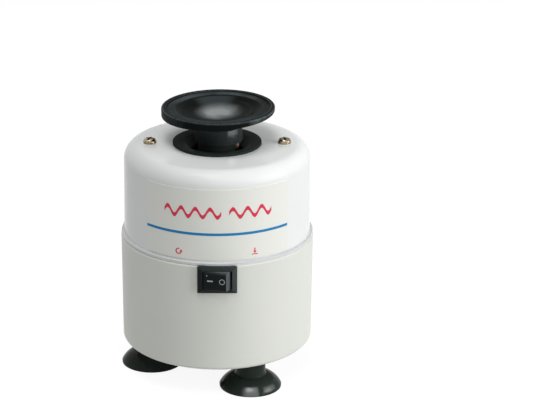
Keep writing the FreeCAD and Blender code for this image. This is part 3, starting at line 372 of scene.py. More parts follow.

# %% [markdown]
# ## Dull rubber
# The ring in the cover's hole is plain dull rubber. Rubber is never quite black, so a fine speck mixes
# two dark greens. A mask by distance paints the ring's bore paler, as dust and as painted light that
# lifts the shade inside the bore. A low refractive index keeps the white room from greying the ring,
# which a darker colour alone wouldn't do.

# %% Ring rubber
rubber_black, shader, place = new_finish("rubber_black", {"IOR": 1.06})
speck = clouds(place, 700.0, 4.0)
black = tinted(speck, (0.02, 0.0275, 0.0232), (0.0278, 0.0362, 0.0316))
# Painted light and dust: the bore is painted paler, which lifts the shade inside it.
bore_dust_and_fill_light = 1.0 - rise(from_axis(place, 0.0, 0.0), 17.6, 18.3)
tinted(0.8 * bore_dust_and_fill_light, black, (0.15, 0.145, 0.125)).into(shader.inputs["Base Color"])
(0.42 + 0.14 * clouds(place, 220.0)).into(shader.inputs["Roughness"])
pressed(speck, 0.03, 0.6).into(shader.inputs["Normal"])
print(rubber_black.name, "is ready")

# %% [markdown]
# ## Polished rubber
# The feet are suction cups, and a cup only seals when it is smooth. The front cup's edge shines in two
# places, where fingers wipe it when they lift it to let air in. More gloss all over would mirror the
# whole white room, so only these two patches get a clear coat.

# %% Foot rubber
CUP_X, CUP_Y = 18.25 * MM, -31.61 * MM

foot_black, shader, place = new_finish("foot_black", {"IOR": 1.15, "Coat Roughness": 0.34, "Coat IOR": 2.0})
speck = clouds(place, 300.0, 3.0)
tinted(speck, (0.02, 0.0285, 0.0238), (0.0245, 0.0335, 0.028)).into(shader.inputs["Base Color"])
reach = from_axis(place, CUP_X, CUP_Y)
aside = toward(place, CUP_X, CUP_Y, 90.0)
ahead = ramp(toward(place, CUP_X, CUP_Y, 0.0), 0.0, 0.3)
wiped = ramp(aside, -0.36, -0.1) * (1.0 - ramp(aside, 0.2, 0.32)) * ahead * rise(reach, 13.4, 14.8)
corner = ramp(toward(place, CUP_X, CUP_Y, 42.0), 0.95, 0.985) * rise(reach, 14.0, 15.2)
inside_edge = 1.0 - rise(reach, 16.2, 16.8)
(0.85 * wiped + 0.45 * corner * inside_edge).into(shader.inputs["Coat Weight"])
(0.06 + 0.06 * clouds(place, 160.0)).into(shader.inputs["Roughness"])
pressed(clouds(place, 240.0), 0.03, 0.3).into(shader.inputs["Normal"])
paint(foot_black, "foot_front", "foot_rear", "foot_left")

# %% [markdown]
# ## Used rubber
# The dish has been used. Pale dust lies in its bowl, painted together with a broad painted highlight, and
# the bowl's back wall is a little paler too. The flat land round the bowl is painted paler, most of all at
# the back, as wear and as painted sheen. The edges of the lip carry thin painted highlights, broken by
# patchy wear. The rim is painted paler on the right, as painted light from that side, and a little on the
# left. The neck is painted paler all round, which lifts the shade under the dish. The faces keep the fine
# turning marks of the mould, and a strip of the neck keeps the gloss of new rubber, which a clear coat
# gives. All these marks are masks about the dish's own axis, so they move with it.

# %% Where the dish is worn and painted lighter
HEAD_X, HEAD_Y = 0.845 * MM, 1.813 * MM
BOWL_SHEEN_Y = HEAD_Y + 4.4 * MM

dish_black, shader, place = new_finish("dish_rubber", {"IOR": 1.06, "Coat Roughness": 0.2, "Coat IOR": 2.3})
reach = from_axis(place, HEAD_X, HEAD_Y)
height = upright(place)
speck = clouds(place, 650.0, 4.0)
painted_light_share = 0.5 + 0.5 * ramp(speck, 0.35, 0.6)
neck = 1.0 - rise(height, 139.0, 141.0)
inside = rise(height, 142.0, 142.8)
# Painted highlight and dust: a broad pale patch in the bowl stands in for the bowl's sheen and its dust.
core = from_axis(place, HEAD_X, BOWL_SHEEN_Y)
dust_and_highlight_spread = (1.0 - rise(core, 3.0, 15.0)) * inside * (1.0 - rise(reach, 15.0, 21.0))
swept = ramp(across(place, "Y"), HEAD_Y - 7.0 * MM, HEAD_Y + 5.0 * MM)
bowl_dust_and_highlight = dust_and_highlight_spread * swept * (0.55 + 0.45 * ramp(clouds(place, 110.0, 5.0), 0.3, 0.62))
behind = toward(place, HEAD_X, HEAD_Y, 186.0)
wall = ramp(behind, 0.8, 0.98) * inside * (1.0 - rise(reach, 22.0, 23.0))
on_land = rise(height, 147.6, 148.6) * rise(reach, 22.8, 23.8) * (1.0 - rise(reach, 27.4, 28.2))
# Wear and painted sheen: the land is painted paler, most of all at the back.
land_wear_and_sheen = on_land * ramp(clouds(place, 60.0, 4.0), 0.2, 0.75) * (0.08 + 0.2 * ramp(behind, 0.1, 0.8))
on_lip = rise(height, 148.9, 149.4)
# Painted highlights on the lip's edges, broken by patchy wear.
edges = on_lip * (0.8 * near_circle(reach, 28.4, 0.5) + near_circle(reach, 30.5, 0.8)) * painted_light_share
on_rim = rise(reach, 30.3, 30.7) * painted_light_share
# Painted light: the rim is painted paler on the right, the side the light comes from, and a little on the
# left.
rim_right = on_rim * ramp(toward(place, HEAD_X, HEAD_Y, 55.0), 0.9, 0.98)
rim_left = on_rim * ramp(toward(place, HEAD_X, HEAD_Y, -70.0), 0.8, 0.95)
polished = ramp(toward(place, HEAD_X, HEAD_Y, 38.0), 0.94, 0.985)
print("masks for", dish_black.name, "are ready")

# %% Dish rubber
TURNING_PITCH = 0.6 * MM

black = tinted(speck, (0.0045, 0.0062, 0.0055), (0.0085, 0.0108, 0.01))
# The neck's share paints it paler all round, which lifts the shade under the dish.
pale = land_wear_and_sheen + 0.22 * edges + 0.115 * neck + 0.4 * rim_right + 0.09 * rim_left + 0.13 * wall
wear_and_painted_light_tone = tinted(pale, black, (0.25, 0.3, 0.32))
# The bowl's dust and painted highlight are laid over the worn and painted pale tones below.
tinted(1.15 * bowl_dust_and_highlight, wear_and_painted_light_tone, (0.305, 0.322, 0.328)).into(shader.inputs["Base Color"])
(neck * (0.06 + 0.94 * polished)).into(shader.inputs["Coat Weight"])
(0.36 + 0.12 * speck + 0.1 * bowl_dust_and_highlight).into(shader.inputs["Roughness"])
turning = reach.math("SINE", reach * (2.0 * math.pi / TURNING_PITCH), 0.0)
pressed(0.25 * turning + speck, 0.03, 0.5).into(shader.inputs["Normal"])
print(dish_black.name, "is ready")

# %% [markdown]
# ## Black plastic
# The switch, the lead's inlet and the hub under the dish are satin black plastic. The bezel is slightly
# duller than the rocker, which fingers have polished. The sides of the switch that look right and up are
# painted a little paler, as painted light from the right and from above. A mask by the way that a face
# looks puts this painted light there.

# %% Black plastic finishes
# The way of the painted light on the switch: to the right and a little up.
LIT_WAY = (0.85, 0.0, 0.35)


def black_plastic(name, dark, light, roughness, grain, painted_light_share=0.0):
    """Black plastic. The last argument paints the sides that look right, and a little those that look up,
    paler, as painted light from the right and from above.
    """
    finish, shader, place = new_finish(name, {"IOR": 1.12})
    speck = clouds(place, grain, 4.0)
    black = tinted(speck, dark, light)
    facing = place.beside("Normal")
    slant = facing.node("VectorMath", {"operation": "DOT_PRODUCT"}, {0: facing, 1: LIT_WAY}, "Value")
    # Painted light: faces that look right and up are painted paler.
    tinted(painted_light_share * ramp(slant, 0.05, 0.45), black, (0.3, 0.32, 0.34)).into(shader.inputs["Base Color"])
    (roughness + 0.12 * clouds(place, 400.0)).into(shader.inputs["Roughness"])
    pressed(speck, 0.015, 0.5).into(shader.inputs["Normal"])
    return finish


switch_black = black_plastic("switch_black", (0.014, 0.0185, 0.0192), (0.02, 0.0255, 0.0268),
                             roughness=0.34, grain=2600.0, painted_light_share=0.13)
rocker_black = black_plastic("rocker_black", (0.0085, 0.012, 0.0115), (0.0135, 0.0175, 0.017),
                             roughness=0.28, grain=3200.0, painted_light_share=0.28)
gland_black = black_plastic("gland_black", (0.012, 0.013, 0.013), (0.02, 0.022, 0.022),
                            roughness=0.4, grain=1800.0)
hub_black = black_plastic("hub_black", (0.02, 0.027, 0.0235), (0.028, 0.0365, 0.032),
                          roughness=0.42, grain=1500.0)
paint(gland_black, "cord_gland")
paint(hub_black, "eccentric_hub")

# %% [markdown]
# ## Yellow zinc
# The screws are steel with a thin yellow passivated zinc layer. The layer is uneven, and its tint drifts
# from straw to dark brown, so two sizes of clouds mix three colours. The cross recess is painted darker
# still, as painted shade: its mask needs the height and the distance to the nearer screw, which the
# mirrored X gives for both at once.

# %% Plated finish
SCREW_X = 36.5
# Squares of the inner and outer reach of the dark patch, in square millimetres.
RECESS_INSIDE = 7.5
RECESS_OUTSIDE = 8.4

zinc_yellow, shader, place = new_finish("zinc_yellow", {"Metallic": 1.0})
straw = tinted(ramp(clouds(place, 500.0), 0.35, 0.65), (0.335, 0.28, 0.168), (0.41, 0.372, 0.288))
plated = tinted(0.8 * ramp(clouds(place, 700.0, 3.0), 0.47, 0.6), straw, (0.1, 0.065, 0.05))
height = upright(place)
below_dome = rise(height, 129.9, 130.0) * (1.0 - rise(height, 131.1, 131.9))
apart = across(place, "X")
aside = apart.math("ABSOLUTE", apart, 0.0) - SCREW_X * MM
ahead = apart.beside("Y")
off_square = aside * aside + ahead * ahead
# Painted shade: the cross recess is painted darker.
recess_shade = below_dome * (1.0 - ramp(off_square, RECESS_INSIDE * MM * MM, RECESS_OUTSIDE * MM * MM))
tinted(0.85 * recess_shade, plated, (0.09, 0.035, 0.025)).into(shader.inputs["Base Color"])
(0.18 + 0.16 * clouds(place, 1400.0, 3.0)).into(shader.inputs["Roughness"])
pressed(clouds(place, 2200.0, 3.0), 0.02, 0.5).into(shader.inputs["Normal"])
paint(zinc_yellow, "foot_nuts", "pillar_screw")

# %% [markdown]
# ## Stained zinc
# The screw under the neck has the same plating, gone dull and brown. Rougher metal alone would still
# mirror the white room, so less of it counts as metal.

# %% Stained finish
zinc_dulled, shader, place = new_finish("zinc_dulled", {"Metallic": 0.3})
stain = ramp(clouds(place, 800.0, 3.0), 0.35, 0.65)
tinted(stain, (0.5, 0.33, 0.24), (0.3, 0.17, 0.12)).into(shader.inputs["Base Color"])
(0.3 + 0.2 * stain).into(shader.inputs["Roughness"])
pressed(stain, 0.03, 0.5).into(shader.inputs["Normal"])
paint(zinc_dulled, "hub_screw")

# %% [markdown]
# ## Metals inside
# The works are hidden while the mixer is whole, but the part may be taken apart or shown cut open. Each
# metal gets two near tones and a grain of its own size, stretched round or along the piece as its tooling
# leaves it. One function makes them all, because they differ only in tones and grain.

# %% Metal finishes
def bare_metal(name, dark, light, roughness, grain, run, depth):
    """A metal with two tones. Run holds the uneven scale that draws the grain out."""
    finish, shader, place = new_finish(name, {"Metallic": 1.0})
    lines = clouds(stretched(place, *run), grain, 4.0)
    tinted(lines, dark, light).into(shader.inputs["Base Color"])
    (roughness + 0.16 * clouds(place, grain / 3)).into(shader.inputs["Roughness"])
    pressed(lines, depth, 0.5).into(shader.inputs["Normal"])
    return finish


ROUND = (1.0, 1.0, 14.0)
EVEN = (1.0, 1.0, 1.0)
ALONG = (6.0, 6.0, 0.6)
steel = bare_metal("steel", (0.44, 0.44, 0.45), (0.62, 0.62, 0.63), 0.24, 260.0, ROUND, 0.02)
steel_black = bare_metal("steel_black", (0.03, 0.031, 0.033), (0.07, 0.07, 0.072),
                         0.36, 700.0, ROUND, 0.02)
base_steel = bare_metal("base_steel", (0.22, 0.225, 0.235), (0.4, 0.4, 0.41), 0.4, 90.0, EVEN, 0.03)
spring_steel = bare_metal("spring_steel", (0.2, 0.205, 0.22), (0.42, 0.42, 0.44), 0.26, 420.0, EVEN, 0.02)
cast_aluminium = bare_metal("cast_aluminium", (0.5, 0.51, 0.52), (0.68, 0.68, 0.69),
                            0.46, 520.0, EVEN, 0.08)
bronze = bare_metal("bronze", (0.38, 0.22, 0.09), (0.6, 0.38, 0.17), 0.38, 1500.0, EVEN, 0.04)
terminal_tin = bare_metal("terminal_tin", (0.6, 0.6, 0.58), (0.76, 0.75, 0.72), 0.26, 340.0, ALONG, 0.02)
paint(steel, "foot_studs", "pillar_left", "pillar_right", "motor_bolts", "motor_nuts", "motor_shaft")
paint(steel, "shaft_spacers", "head_bearing_inner", "head_bearing_outer", "bearing_screw")
paint(steel, "micro_switch_bracket", "micro_switch_screws", "bracket_screws")
paint(steel_black, "head_hub")
paint(base_steel, "base_plate")
paint(spring_steel, "retaining_rings", "carrier_springs")
paint(cast_aluminium, "upper_bracket", "lower_bracket")
paint(bronze, "guide_bushes", "motor_bush_upper", "motor_bush_lower")
paint(terminal_tin, "switch_terminals", "micro_switch_terminals")

# %% [markdown]
# ## Core, windings and board
# The motor's cores are stacks of thin punched sheets, so fine level lines show on their sides. The
# windings are lacquered copper wire, and the carrier is a brown paper laminate whose cut edges show their
# layers. A wave texture could draw such lines. A sine of the height is used instead, because its pitch
# can be given in millimetres.

# %% Layered finishes
def level_lines(place, pitch):
    """A wave from 0 to 1 that repeats every pitch millimetres of height."""
    turns = upright(place) * (2.0 * math.pi / (pitch * MM))
    return 0.5 + 0.5 * turns.math("SINE", turns, 0.0)


def layered(name, dark, light, pitch, metallic, roughness):
    finish, shader, place = new_finish(name, {"Metallic": metallic})
    sheets = level_lines(place, pitch)
    stain = clouds(place, 180.0, 4.0)
    tinted(0.55 * sheets + 0.45 * stain, dark, light).into(shader.inputs["Base Color"])
    (roughness + 0.15 * stain).into(shader.inputs["Roughness"])
    pressed(sheets, 0.05, 0.6).into(shader.inputs["Normal"])
    return finish


lamination = layered("lamination", (0.2, 0.2, 0.21), (0.36, 0.36, 0.37), 0.7, 1.0, 0.34)
copper = layered("copper", (0.42, 0.13, 0.045), (0.75, 0.32, 0.14), 0.5, 1.0, 0.24)
laminate_brown = layered("laminate_brown", (0.12, 0.055, 0.022), (0.22, 0.11, 0.05), 0.8, 0.0, 0.36)
paint(lamination, "stator_core", "rotor_core")
paint(copper, "stator_windings")
paint(laminate_brown, "carrier_plate")

# %% [markdown]
# ## The touch switch's plastics
# The little touch switch has a red glossy case and a white plunger. Both are plain mouldings with a fine
# grain, so the same few nodes make both.

# %% Touch switch finishes
def bright_plastic(name, dark, light):
    finish, shader, place = new_finish(name, {"Specular IOR Level": 0.45})
    speck = clouds(place, 1600.0, 4.0)
    tinted(speck, dark, light).into(shader.inputs["Base Color"])
    (0.26 + 0.14 * clouds(place, 500.0)).into(shader.inputs["Roughness"])
    pressed(speck, 0.015, 0.5).into(shader.inputs["Normal"])
    return finish


paint(bright_plastic("touch_red", (0.4, 0.02, 0.02), (0.5, 0.035, 0.03)), "micro_switch")
paint(bright_plastic("plunger_white", (0.74, 0.73, 0.7), (0.8, 0.79, 0.76)), "micro_switch_plunger")

# %% [markdown]
# ## From outline to piece
# Round pieces start as half of their outline: a row of vertices with the sharp corners bevelled, spun
# once round. `pull` extrudes faces for the flat ones. `add_piece` merges doubles, points the faces
# outwards, smooths the mesh but keeps real edges crisp, and ties it to the body that carries it.

# %% Modelling helpers
ROUND_STEPS = 5
LARGE_CUT = 5.0
WELD = 0.0002 * MM
CRISP_FROM = math.radians(35.0)


def outline(bm, corners):
    """Joins (radius, height, cut) corners, in millimetres, into a row. A corner with a cut is rounded."""
    row = [bm.verts.new((radius * MM, 0.0, height * MM)) for radius, height, cut in corners]
    for first, second in zip(row, row[1:]):
        bm.edges.new((first, second))
    for vert, (radius, height, cut) in zip(row, corners):
        if cut:
            steps = ROUND_STEPS if cut < LARGE_CUT else 4 * ROUND_STEPS
            bmesh.ops.bevel(bm, geom=[vert], offset=cut * MM, offset_type="OFFSET", segments=steps,
                            profile=0.5, affect="VERTICES", material=-1)


def turn_round(bm, steps):
    """Spins everything drawn so far once round the Z axis and closes the seam and the poles."""
    bmesh.ops.spin(bm, geom=bm.verts[:] + bm.edges[:], cent=(0, 0, 0), axis=(0, 0, 1), dvec=(0, 0, 0),
                   angle=2.0 * math.pi, steps=steps, use_merge=True, use_normal_flip=False,
                   use_duplicate=False)
    bmesh.ops.remove_doubles(bm, verts=bm.verts, dist=WELD)


def verts_in(made):
    """The vertices among what an operator made."""
    return [item for item in made["geom"] if isinstance(item, bmesh.types.BMVert)]


def pull(bm, faces):
    """Extrudes faces in place and returns the vertices of the new faces, ready to be moved."""
    return verts_in(bmesh.ops.extrude_face_region(bm, geom=faces))


def add_piece(name, bm, finish, body, stands_for=()):
    bmesh.ops.remove_doubles(bm, verts=bm.verts, dist=WELD)
    bmesh.ops.recalc_face_normals(bm, faces=bm.faces)
    mesh = bpy.data.meshes.new(name)
    bm.to_mesh(mesh)
    bm.free()
    mesh.shade_smooth()
    mesh.set_sharp_from_angle(angle=CRISP_FROM)
    mesh.materials.append(finish)
    piece = bpy.data.objects.new(name, mesh)
    bpy.context.scene.collection.objects.link(piece)
    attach(piece, body)
    if stands_for:
        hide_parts(*stands_for)
    print(name, len(mesh.polygons), "faces, rides on", body)


print("modelling helpers are ready")

# %% [markdown]
# ## The rubber dish
# The dish is one rubber moulding: a neck, a flared underside, a raised lip, a flat land and a round bowl.
# Its outline follows the CAD's, with softer edges and a slightly longer neck. The real dish is soft and
# not quite true: its rim is deeper on the left, and it leans a little to the left on its neck. So the
# underside is turned by a small angle, and all that is above the middle of the neck is tipped and
# shifted.

# %% Spin and bend the dish
DISH_OUTLINE = (
    (0.0, 141.1, 0.0),
    (11.05, 141.1, 0.0),
    (11.05, 131.0, 0.0),
    (13.0, 131.0, 0.4),
    (13.0, 141.1, 2.0),
    (30.8, 146.2, 0.6),
    (30.8, 149.9, 0.7),
    (28.2, 149.9, 0.4),
    (28.2, 149.1, 0.25),
    (23.5, 149.1, 0.5),
    (12.4, 143.3, 11.5),
    (0.0, 143.3, 0.0),
)
FULL_ROUND = 160
NECK_BEND_Z = 136.0
BEND_LEFT = -0.2
LEAN_LEFT = math.radians(-0.8)
UNDER_LEAN = math.radians(-2.2)
UNDER_FROM = 13.2
RIM_LOW_Z = 146.2
RIM_SOFT = 0.9

bm = bmesh.new()
outline(bm, DISH_OUTLINE)
turn_round(bm, FULL_ROUND)
flare = [vert for vert in bm.verts if vert.co.xy.length > UNDER_FROM * MM]
under = [vert for vert in flare if vert.co.z < (RIM_LOW_Z + RIM_SOFT) * MM]
rim_middle = (0.0, 0.0, RIM_LOW_Z * MM)
bmesh.ops.rotate(bm, cent=rim_middle, matrix=Matrix.Rotation(UNDER_LEAN, 3, "Y"), verts=under)
bmesh.ops.translate(bm, verts=bm.verts, vec=(HEAD_X, HEAD_Y, 0.0))
upper = [vert for vert in bm.verts if vert.co.z > NECK_BEND_Z * MM]
neck_middle = (HEAD_X, HEAD_Y, NECK_BEND_Z * MM)
bmesh.ops.rotate(bm, cent=neck_middle, matrix=Matrix.Rotation(LEAN_LEFT, 3, "Y"), verts=upper)
bmesh.ops.translate(bm, verts=upper, vec=(BEND_LEFT * MM, 0.0, 0.0))
add_piece("mixing_dish", bm, dish_black, "head", ["mixing_head"])

# %% [markdown]
# ## The rubber ring
# The ring grips the edge of the cover's hole in a groove, as the CAD has it. In the photograph its inner
# side slopes down towards the neck like a funnel, which keeps spills out, where a plain bore would show a
# deep gap. The slope ends clear of the neck's orbit and of the turning hub, also with the head pressed
# down.

# %% Spin the ring
RING_OUTLINE = (
    (13.6, 125.7, 0.0),
    (13.6, 126.6, 0.3),
    (18.1, 130.4, 0.5),
    (24.2, 131.1, 0.6),
    (24.2, 129.7, 0.3),
    (20.0, 129.7, 0.0),
    (20.0, 127.2, 0.0),
    (22.2, 127.2, 0.0),
    (21.45, 125.7, 0.0),
    (13.6, 125.7, 0.0),
)

bm = bmesh.new()
outline(bm, RING_OUTLINE)
turn_round(bm, FULL_ROUND)
add_piece("funnel_ring", bm, rubber_black, "housing", ["cover_ring"])

# %% [markdown]
# ## The cover's screws
# The two pan-head screws show their cross recess. A head is spun from its outline, and straight cuts mark
# the cross out on its dome. The marked faces are then pushed straight down, as the heading tool does in
# the factory. The second screw is a copy, turned a little, because no two screws stop at the same angle.

# %% Make the screws
SCREW_OUTLINE = (
    (0.0, 115.2, 0.0),
    (2.0, 115.2, 0.3),
    (2.0, 129.7, 0.0),
    (3.6, 129.7, 0.0),
    (3.6, 132.3, 1.82),
    (0.0, 132.3, 0.0),
)
SCREW_ROUND = 48
RIGHT_TURN = 8.0
LEFT_TURN = -24.0
DOME_Z = 130.0
CROSS_HALF = 0.6
CROSS_REACH = 2.75
CROSS_DEEP = 1.5
CUT_NEAR = 0.0001 * MM


def cut_dome(bm, x, y):
    """Cuts the dome along an upright plane through a point, square to the way to that point."""
    dome = [face for face in bm.faces if face.calc_center_median().z > DOME_Z * MM]
    edges = list(dict.fromkeys(edge for face in dome for edge in face.edges))
    verts = list(dict.fromkeys(vert for face in dome for vert in face.verts))
    bmesh.ops.bisect_plane(bm, geom=verts + edges + dome, dist=CUT_NEAR,
                           plane_co=Vector((x, y, 0.0)) * MM, plane_no=(x, y, 0.0))


def in_cross(face):
    centre = face.calc_center_median() / MM
    near, far = sorted((abs(centre.x), abs(centre.y)))
    return centre.z > DOME_Z and near < CROSS_HALF and far < CROSS_REACH


bm = bmesh.new()
outline(bm, SCREW_OUTLINE)
turn_round(bm, SCREW_ROUND)
for reach in (CROSS_HALF, -CROSS_HALF, CROSS_REACH, -CROSS_REACH):
    cut_dome(bm, reach, 0.0)
    cut_dome(bm, 0.0, reach)
cross = [face for face in bm.faces if in_cross(face)]
pushed = pull(bm, cross)
bmesh.ops.delete(bm, geom=cross, context="FACES")
bmesh.ops.translate(bm, vec=(0.0, 0.0, -CROSS_DEEP * MM), verts=pushed)
second = verts_in(bmesh.ops.duplicate(bm, geom=bm.verts[:] + bm.edges[:] + bm.faces[:]))
first = [vert for vert in bm.verts if vert not in second]
for verts, x, angle in ((first, SCREW_X, RIGHT_TURN), (second, -SCREW_X, LEFT_TURN)):
    turned = Matrix.Translation((x * MM, 0.0, 0.0)) @ Matrix.Rotation(math.radians(angle), 4, "Z")
    bmesh.ops.transform(bm, matrix=turned, verts=verts)
add_piece("cover_screw_pair", bm, zinc_yellow, "housing", ["cover_screws"])

# %% [markdown]
# ## Ink on the panel
# The printing is thin raised ink on the curved film: one blue line across the whole panel, and red marks.
# Sweeping a short upright edge round the mixer's axis makes a band that follows the curve exactly. Where
# the edge also climbs and falls at each step, the band becomes a wave, a plain sign for shaking.

# %% Ink finishes
def ink(name, dark, light):
    finish, shader, place = new_finish(name, {"Specular IOR Level": 0.3})
    speck = clouds(place, 1200.0, 4.0)
    tinted(speck, dark, light).into(shader.inputs["Base Color"])
    (0.45 + 0.15 * speck).into(shader.inputs["Roughness"])
    pressed(speck, 0.01, 0.5).into(shader.inputs["Normal"])
    return finish


ink_red = ink("ink_red", (0.68, 0.032, 0.078), (0.74, 0.042, 0.095))
ink_blue = ink("ink_blue", (0.004, 0.19, 0.44), (0.008, 0.225, 0.5))
print(ink_red.name, "and", ink_blue.name, "are ready")

# %% Sweep the bands
INK_T = 0.1
INK_SINK = 0.04
PANEL_R = 51.43
PANEL_LOW_Z = 78.5
PANEL_TAPER = 0.4 / 51.2
FRONT = -90.0
LINE_Z = 96.0
WAVE_Z = 107.9


def panel_radius(height):
    """Outer radius of the panel at a height, in millimetres."""
    return PANEL_R - PANEL_TAPER * (height - PANEL_LOW_Z)


def ink_band(name, finish, height, tall, start, end, waves=0, swing=0.0, steps=24):
    """A band of ink from one angle to another. With waves, its middle swings up and down."""
    bm = bmesh.new()
    side = Matrix.Rotation(math.radians(FRONT + start), 3, "Z")
    radius = (panel_radius(height) - INK_SINK) * MM
    ends = [side @ Vector((radius, 0.0, (height + lift * tall) * MM)) for lift in (-0.5, 0.5)]
    low, high = (bm.verts.new(place) for place in ends)
    last = [low, high, bm.edges.new((low, high))]
    count = steps * max(waves, 1)
    step_angle = math.radians(end - start) / count
    for step in range(count):
        turns = [2.0 * math.pi * waves * (step + part) / count for part in (0, 1)]
        climb = swing * (math.sin(turns[1]) - math.sin(turns[0])) * MM
        swept = bmesh.ops.spin(bm, geom=last, cent=(0, 0, 0), axis=(0, 0, 1), dvec=(0, 0, climb),
                               angle=step_angle, steps=1, use_merge=False, use_normal_flip=False,
                               use_duplicate=False)
        last = swept["geom_last"]
    grow = 1.0 + INK_T * MM / radius
    bmesh.ops.scale(bm, vec=(grow, grow, 1.0), verts=pull(bm, bm.faces[:]))
    add_piece(name, bm, finish, "housing")


ink_band("panel_line", ink_blue, LINE_Z, 1.45, start=-46.6, end=46.6, steps=96)
ink_band("panel_wave_left", ink_red, WAVE_Z, 2.3, start=-32.8, end=2.4, waves=4, swing=2.3)
ink_band("panel_wave_right", ink_red, WAVE_Z, 2.3, start=7.1, end=34.0, waves=3, swing=2.3)

# %% [markdown]
# ## Two small signs
# Below the line, two little red signs stand where the switch's two ways of running are marked: an open
# ring for running on, and an arrow on a bar for running at a touch. They are so small that the panel's
# curve doesn't matter, so each is drawn flat and then set against the panel.

# %% Flat shapes for signs
def flat_ring(bm, inner, outer, angle, steps):
    """A ring, or an open one below 360 degrees, swept in the XZ plane from a short edge."""
    ends = [bm.verts.new((radius * MM, 0.0, 0.0)) for radius in (inner, outer)]
    bmesh.ops.spin(bm, geom=[*ends, bm.edges.new(ends)], cent=(0, 0, 0), axis=(0, 1, 0), dvec=(0, 0, 0),
                   angle=math.radians(angle), steps=steps, use_merge=angle == 360.0,
                   use_normal_flip=False, use_duplicate=False)


def flat_triangle(bm, x, z, size, angle):
    """A filled triangle in the XZ plane. At angle 0 it points up."""
    made = bmesh.ops.create_circle(bm, cap_ends=True, segments=3, radius=size * MM)
    spot = Matrix.Translation((x * MM, 0.0, z * MM))
    facing = Matrix.Rotation(math.radians(angle), 4, "Y") @ Matrix.Rotation(math.pi / 2, 4, "X")
    bmesh.ops.transform(bm, matrix=spot @ facing, verts=made["verts"])


def flat_bar(bm, x, z, wide, tall):
    made = bmesh.ops.create_grid(bm, x_segments=1, y_segments=1, size=0.5 * MM)
    shape = Matrix.Diagonal((wide, 1.0, tall, 1.0)) @ Matrix.Rotation(math.pi / 2, 4, "X")
    bmesh.ops.transform(bm, matrix=Matrix.Translation((x * MM, 0.0, z * MM)) @ shape, verts=made["verts"])


def thicken(bm):
    """Gives flat ink drawn in the XZ plane its thickness, towards the front."""
    bmesh.ops.translate(bm, verts=pull(bm, bm.faces[:]), vec=(0.0, -INK_T * MM, 0.0))


print("flat shapes are ready")

# %% Draw the signs
SIGN_Z = 85.3
RUN_ANGLE = -23.5
TOUCH_ANGLE = 22.9


def set_on_panel(bm, angle, height):
    """Sets flat ink on the panel at an angle from the front and a height."""
    thicken(bm)
    out = Matrix.Translation((0.0, (INK_SINK - panel_radius(height)) * MM, height * MM))
    turn = Matrix.Rotation(math.radians(angle), 4, "Z")
    bmesh.ops.transform(bm, matrix=turn @ out, verts=bm.verts)


bm = bmesh.new()
flat_ring(bm, inner=1.15, outer=1.75, angle=285.0, steps=40)
flat_triangle(bm, x=1.45, z=0.25, size=0.95, angle=0.0)
set_on_panel(bm, RUN_ANGLE, SIGN_Z)
add_piece("panel_sign_run", bm, ink_red, "housing")

bm = bmesh.new()
flat_bar(bm, x=0.0, z=1.15, wide=0.6, tall=1.5)
flat_triangle(bm, x=0.0, z=-0.25, size=1.05, angle=180.0)
flat_bar(bm, x=0.0, z=-1.6, wide=3.4, tall=0.5)
set_on_panel(bm, TOUCH_ANGLE, SIGN_Z)
add_piece("panel_sign_touch", bm, ink_red, "housing")

# %% [markdown]
# ## The switch's bezel
# The bezel is a small frame with sloping sides that meet in mitres. It grows out of one box: the front
# face is pushed out and made smaller for the slope, made smaller again for the narrow land, and pushed in
# for the hole. A fine bevel on the outer edges catches the light as a moulded edge does.

# %% Helpers for boxes
def stepped(bm, face, wide, tall, shift):
    """Extrudes a face that looks along Y, gives it a new size, and shifts it, all in millimetres."""
    new = bmesh.ops.extrude_discrete_faces(bm, faces=[face])["faces"][0]
    centre = new.calc_center_median()
    across_half = max(vert.co.x for vert in new.verts) - centre.x
    up_half = max(vert.co.z for vert in new.verts) - centre.z
    size = Matrix.Diagonal((0.5 * wide * MM / across_half, 1.0, 0.5 * tall * MM / up_half, 1.0))
    spot = Matrix.Translation(centre)
    moved = Matrix.Translation((0.0, shift * MM, 0.0))
    bmesh.ops.transform(bm, matrix=moved @ spot @ size @ spot.inverted(), verts=new.verts)
    return new


def soften(bm, edges, width, steps):
    bmesh.ops.bevel(bm, geom=edges, offset=width * MM, offset_type="OFFSET", segments=steps, profile=0.5,
                    affect="EDGES", material=-1, clamp_overlap=True)


def corners_before(bm, y):
    """The edges in front of a plane where two faces meet at a clear angle."""
    ahead = [edge for edge in bm.edges if all(vert.co.y < y * MM for vert in edge.verts)]
    return [edge for edge in ahead if edge.is_manifold and edge.calc_face_angle() > math.radians(20.0)]


print("box helpers are ready")

# %% Make the bezel
SWITCH_Z = 71.3
BEZEL_BACK = -52.9
BEZEL_SIZE = (21.2, 0.8, 15.3)

bm = bmesh.new()
bmesh.ops.create_cube(bm, size=MM)
bmesh.ops.scale(bm, vec=BEZEL_SIZE, verts=bm.verts)
bmesh.ops.translate(bm, vec=Vector((0.0, BEZEL_BACK - BEZEL_SIZE[1] / 2, SWITCH_Z)) * MM, verts=bm.verts)
by_depth = sorted(bm.faces, key=lambda face: face.calc_center_median().y)
slope = stepped(bm, by_depth[0], wide=16.0, tall=11.1, shift=-1.5)
land = stepped(bm, slope, wide=15.6, tall=10.7, shift=0.0)
stepped(bm, land, wide=15.6, tall=10.7, shift=15.3)
body = stepped(bm, by_depth[-1], wide=19.2, tall=13.4, shift=0.0)
stepped(bm, body, wide=19.2, tall=13.4, shift=15.0)
soften(bm, corners_before(bm, BEZEL_BACK + 0.1), width=0.16, steps=3)
add_piece("switch_bezel", bm, switch_black, "housing", ["switch_frame"])

